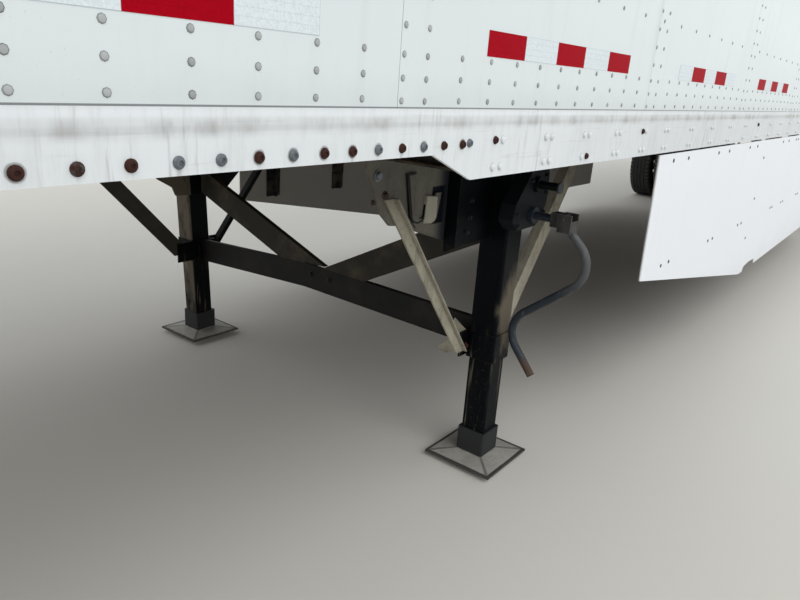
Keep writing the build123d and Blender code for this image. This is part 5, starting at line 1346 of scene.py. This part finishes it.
class TRAILER_OT_skirt_fittings(PieceOperator, bpy.types.Operator):
    """Add the rivets of the side skirts and the feet of their struts"""

    bl_idname = "trailer.skirt_fittings"
    bl_label = "Skirt Fittings"

    # Heights of the two level rows
    HEAD_ROW = 1.196
    FOOT_ROW = 0.765
    # Distances behind the nose of the rivets that show, row by row, and those between the rows
    SEEN_HEAD = (4.168, 4.361, 4.828, 5.022, 5.457, 5.641, 6.393, 6.587)
    SEEN_FOOT = (4.269, 4.370, 4.979, 5.062, 5.590, 5.674, 6.491, 6.552)
    SEEN_BETWEEN = ((5.885, 1.122), (5.889, 0.885), (5.893, 0.647))
    # Front end of the kerb side skirt's rivets, first strut with regular rivets, and their shift and height
    RIGHT_FRONT = 4.30
    REGULAR_START = 6.90
    REGULAR = ((-0.04, HEAD_ROW), (0.04, HEAD_ROW), (-0.035, FOOT_ROW), (0.035, FOOT_ROW))
    # Distance behind the nose of the first kerb side strut, and the heights of a foot's two ends
    FIRST_STRUT = 4.4686
    STRUT_LOW = 0.622
    STRUT_HIGH = 0.740

    def execute(self, context):
        dark = finish("skirt_rivets", rivet_metal, (0.10, 0.10, 0.11), (0.03, 0.03, 0.035))
        seen = [(place, self.HEAD_ROW) for place in self.SEEN_HEAD]
        seen += [(place, self.FOOT_ROW) for place in self.SEEN_FOOT]
        seen += self.SEEN_BETWEEN
        for side, sign in SIDES:
            rear = back(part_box(f"side_skirt_{side}")[0].x)
            places = [place for place in seen if sign > 0 or place[0] > self.RIGHT_FRONT]
            places += [(post + shift, z) for post in np.arange(self.REGULAR_START, rear - 0.06, STRUT_PITCH)
                       for shift, z in self.REGULAR]
            spots = side_spots(places, sign * SKIRT_OUT)
            lay_rivets(f"skirt_rivets_{side}", 0.0072, 0.0030, spots, OUTWARD[sign], dark)
        rear = back(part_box("side_skirt_right")[0].x)
        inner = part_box("skirt_struts")[0].y
        post = plate_form(-0.055, 0.055, inner, inner + 0.008, self.STRUT_LOW, self.STRUT_HIGH)
        rib = plate_form(-0.004, 0.004, inner + 0.006, inner + 0.038, self.STRUT_LOW, self.STRUT_HIGH)
        struts = np.arange(self.FIRST_STRUT, rear - 0.11, STRUT_PITCH)
        feet = (post + rib).copied([(back(strut), 0.0, 0.0) for strut in struts])
        lay("strut_feet_right", feet, beam_paint())
        return {"FINISHED"}


class TRAILER_OT_door_trim(PieceOperator, bpy.types.Operator):
    """Add the seals, the hinge strap bolts and the edge rivets of the doors"""

    bl_idname = "trailer.door_trim"
    bl_label = "Door Trim"

    # Heights of the hinge straps, and their bolts in from the strap's end and up from its middle
    HINGES = np.linspace(1.552, 3.795, 5)
    STRAP_END = 1.2775
    STRAP_BOLTS = tuple((inward, up) for inward in (0.07, 0.13, 0.19) for up in (-0.016, 0.016))
    # How far a strap stands out from the door
    STRAP_THICK = 0.008
    # Seal: how far it stands out, how deep it sits and how far it keeps from the door's edge
    SEAL_OUT = 0.0040
    SEAL_DEEP = 0.0015
    SEAL_EDGE = 0.001
    # Spacing of the edge rivets up a door, and how far in from its edges they stand
    RIVET_PITCH = 0.20
    RIVET_INSET = 0.045

    def seal(self, low, high, width):
        """Four bars just inside the door's edge, the upright ones a little higher than the level ones."""
        edge = self.SEAL_EDGE
        levels = ((high.z - width, high.z - edge), (low.z + edge, low.z + width))
        uprights = ((low.y + edge, low.y + width), (high.y - width, high.y - edge))
        deep = DOOR_FACE + self.SEAL_DEEP
        bars = [plate_form(DOOR_FACE - self.SEAL_OUT, deep, low.y + edge, high.y - edge, *level)
                for level in levels]
        bars += [plate_form(DOOR_FACE - self.SEAL_OUT - 0.0003, deep, *upright, low.z + edge, high.z - edge)
                 for upright in uprights]
        return together(bars)

    def execute(self, context):
        rubber = finish("door_seal", rubber_face, (0.018, 0.018, 0.019), tint("dust"))
        for side, sign in SIDES:
            body = f"door_{side}"
            low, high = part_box(body)
            lay(f"door_seal_{side}", self.seal(low, high, sizes().gasket_width), rubber, body)
            straps = [(DOOR_FACE - self.STRAP_THICK, sign * (self.STRAP_END - inward), hinge + up)
                      for hinge in self.HINGES for inward, up in self.STRAP_BOLTS]
            near, far = sorted((abs(low.y), abs(high.y)))
            grid = every_pair([near + self.RIVET_INSET, far - self.RIVET_INSET],
                              np.arange(low.z + 0.16, high.z - 0.05, self.RIVET_PITCH))
            clear = np.abs(grid[:, 1:] - self.HINGES).min(1) > 0.05
            grid = grid[clear | (grid[:, 0] < 1.0)]
            rivets = np.column_stack([np.full(len(grid), DOOR_FACE), sign * grid[:, 0], grid[:, 1]])
            bolts = Bolts()
            bolts.add(hex_bolt(0.0075, 12), straps, REARWARD, 0.1)
            bolts.add(dome(0.0058, 0.0026), rivets, REARWARD, 0.1)
            bolts.lay(f"door_bolts_{side}", body=body)
        return {"FINISHED"}


class TRAILER_OT_lamps(PieceOperator, bpy.types.Operator):
    """Add the lenses of the front marker lamps and the rims of the tail lamps"""

    bl_idname = "trailer.lamps"
    bl_label = "Marker Lamps"

    # Marker lamps: distance out from the middle and down from the roof
    MARKER_OUT = 1.08
    MARKER_DROP = 0.06
    # Tail lamps: section of the rim, distances out from the middle and down from the deck's top
    RIM = ((0.0505, 0.0), (0.0505, 0.014), (0.0545, 0.016), (0.0590, 0.012), (0.0600, 0.0))
    TAIL_OUT = (0.47, 0.59)
    TAIL_DROP = 0.082

    def execute(self, context):
        amber = finish("amber_lens", lens, tint("amber"), (0.85, 0.36, 0.06))
        seal = finish("lamp_seal", rubber_face, (0.02, 0.02, 0.021), tint("dust"))
        cover = slab(rounded(0.030, 0.096, 0.012, 5), -0.001, 0.0050, 0.003)
        markers = [(NOSE - 0.001, sign * self.MARKER_OUT, ROOF_TOP - self.MARKER_DROP) for _, sign in SIDES]
        lay("marker_amber", cover.copied(markers, FORWARD), amber)
        tails = [(TAIL, sign * out, FLOOR_TOP - self.TAIL_DROP) for out in self.TAIL_OUT for _, sign in SIDES]
        lay("lamp_rims", ring(self.RIM, 40).copied(tails, REARWARD), seal)
        return {"FINISHED"}


# Floor, and the colour and strength of the light and of the backdrop
FLOOR_REACH = 60.0
SKY_LIGHT = ((0.93, 0.97, 1.0), 0.70)
BACKDROP = ((0.90, 0.92, 0.94), 1.0)

# Suns: where each shines from, its strength and its spread in degrees
SUNS = {"key": ((0.35, 0.75, 0.80), 1.35, 50.0), "fill": ((0.60, -0.60, 0.55), 0.45, 70.0),
        "rear": ((-0.80, 0.10, 0.60), 0.45, 70.0)}

# Camera: turn about Z, tilt down and roll in degrees, place, and focal length in pixels of the view's width
CAMERA_ANGLES = (217.06, 18.57, -4.07)
CAMERA_PLACE = (back(1.5), 2.063, 1.435)
FOCAL_PIXELS = 670.17
VIEW_WIDTH = 800.0
SENSOR_WIDTH = 36.0


def studio_world():
    """World that lights the trailer evenly and shows a pale backdrop to the camera, in gloss and through
    glass."""
    world = bpy.data.worlds.new("studio")
    world.use_nodes = True
    nodes, links = world.node_tree.nodes, world.node_tree.links
    nodes.clear()
    path = nodes.new("ShaderNodeLightPath")
    seen = path.outputs["Is Camera Ray"]
    for ray in ("Is Glossy Ray", "Is Transmission Ray"):
        either = nodes.new("ShaderNodeMath")
        either.operation = "MAXIMUM"
        links.new(seen, either.inputs[0])
        links.new(path.outputs[ray], either.inputs[1])
        seen = either.outputs[0]
    choose = nodes.new("ShaderNodeMixShader")
    links.new(seen, choose.inputs[0])
    for place, (tone, strength) in enumerate((SKY_LIGHT, BACKDROP), 1):
        background = nodes.new("ShaderNodeBackground")
        background.inputs[0].default_value = (*tone, 1.0)
        background.inputs[1].default_value = strength
        links.new(background.outputs[0], choose.inputs[place])
    output = nodes.new("ShaderNodeOutputWorld")
    links.new(choose.outputs[0], output.inputs[0])
    return world


def sun(name, direction, strength, spread):
    """A wide soft sun that shines from a direction."""
    lamp = bpy.data.lights.new(name, "SUN")
    lamp.energy = strength
    lamp.angle = math.radians(spread)
    holder = bpy.data.objects.new(name, lamp)
    holder.rotation_euler = Vector(direction).to_track_quat("Z", "Y").to_euler()
    return holder


def photo_camera():
    """The camera at the photo's place: its view runs ahead by the turn and the tilt, and the roll turns the
    view's right and down about it."""
    turn, tilt, roll = (math.radians(angle) for angle in CAMERA_ANGLES)
    ahead = np.array([math.cos(tilt) * math.cos(turn), math.cos(tilt) * math.sin(turn), -math.sin(tilt)])
    right = np.array([math.sin(turn), -math.cos(turn), 0.0])
    down = np.cross(ahead, right)
    across = math.cos(roll) * right + math.sin(roll) * down
    lower = math.cos(roll) * down - math.sin(roll) * right
    view = bpy.data.cameras.new("camera")
    view.sensor_width = SENSOR_WIDTH
    view.lens = FOCAL_PIXELS * SENSOR_WIDTH / VIEW_WIDTH
    view.clip_start, view.clip_end = 0.05, 200.0
    camera = bpy.data.objects.new("camera", view)
    placed = Matrix(np.column_stack([across, -lower, -ahead]).tolist()).to_4x4()
    placed.translation = CAMERA_PLACE
    camera.matrix_world = placed
    return camera


class TRAILER_OT_stage(PieceOperator, bpy.types.Operator):
    """Add the floor, the soft studio light and the camera"""

    bl_idname = "trailer.stage"
    bl_label = "Stage and Camera"

    def execute(self, context):
        scene = context.scene
        mesh = bpy.data.meshes.new("floor")
        corners = [(x * FLOOR_REACH, y * FLOOR_REACH, 0.0) for x, y in ((-1, -1), (1, -1), (1, 1), (-1, 1))]
        mesh.from_pydata(corners, [], [(0, 1, 2, 3)])
        f = Finish("floor_pale")
        mottle = f.noise(0.8, detail=4)
        shade = f.mix(mottle * 0.3, tint("floor"), scaled(tint("floor"), 0.93))
        mesh.materials.append(f.paint(shade, 0.85 + mottle * 0.1))
        floor = bpy.data.objects.new("floor", mesh)
        camera = photo_camera()
        for thing in [floor, camera] + [sun(name, *values) for name, values in SUNS.items()]:
            scene.collection.objects.link(thing)
        scene.world = studio_world()
        scene.camera = camera
        scene.view_settings.view_transform = "Standard"
        return {"FINISHED"}


class TRAILER_PT_panel(bpy.types.Panel):
    """Lists the trailer's piece operators, sizes and colours"""

    bl_idname = "TRAILER_PT_panel"
    bl_label = "Box Semi Trailer"
    bl_space_type = "VIEW_3D"
    bl_region_type = "UI"
    bl_category = "Trailer"

    def draw(self, context):
        for operator in OPERATORS:
            self.layout.operator(operator.bl_idname)
        for group in (context.scene.trailer_sizes, context.scene.trailer_colours):
            for name in group.bl_rna.properties.keys():
                if name not in {"rna_type", "name"}:
                    self.layout.prop(group, name)


OPERATORS = (TRAILER_OT_finishes, TRAILER_OT_wall_rivets, TRAILER_OT_rail_bolts, TRAILER_OT_tape,
             TRAILER_OT_tyres, TRAILER_OT_wheel_fittings, TRAILER_OT_leg_fittings, TRAILER_OT_skirt_fittings,
             TRAILER_OT_door_trim, TRAILER_OT_lamps, TRAILER_OT_stage)
CLASSES = (TrailerSizes, TrailerColours, *OPERATORS, TRAILER_PT_panel)


def register():
    """Adds the classes and the trailer's sizes and colours to the scene."""
    for kind in CLASSES:
        bpy.utils.register_class(kind)
    bpy.types.Scene.trailer_sizes = bpy.props.PointerProperty(type=TrailerSizes)
    bpy.types.Scene.trailer_colours = bpy.props.PointerProperty(type=TrailerColours)


def unregister():
    """Takes everything that register added away again."""
    del bpy.types.Scene.trailer_colours
    del bpy.types.Scene.trailer_sizes
    for kind in reversed(CLASSES):
        bpy.utils.unregister_class(kind)


def main():
    """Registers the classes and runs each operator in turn."""
    register()
    for operator in OPERATORS:
        group, name = operator.bl_idname.split(".")
        getattr(getattr(bpy.ops, group), name)()
    bpy.context.view_layer.update()


if __name__ == "__main__":
    main()
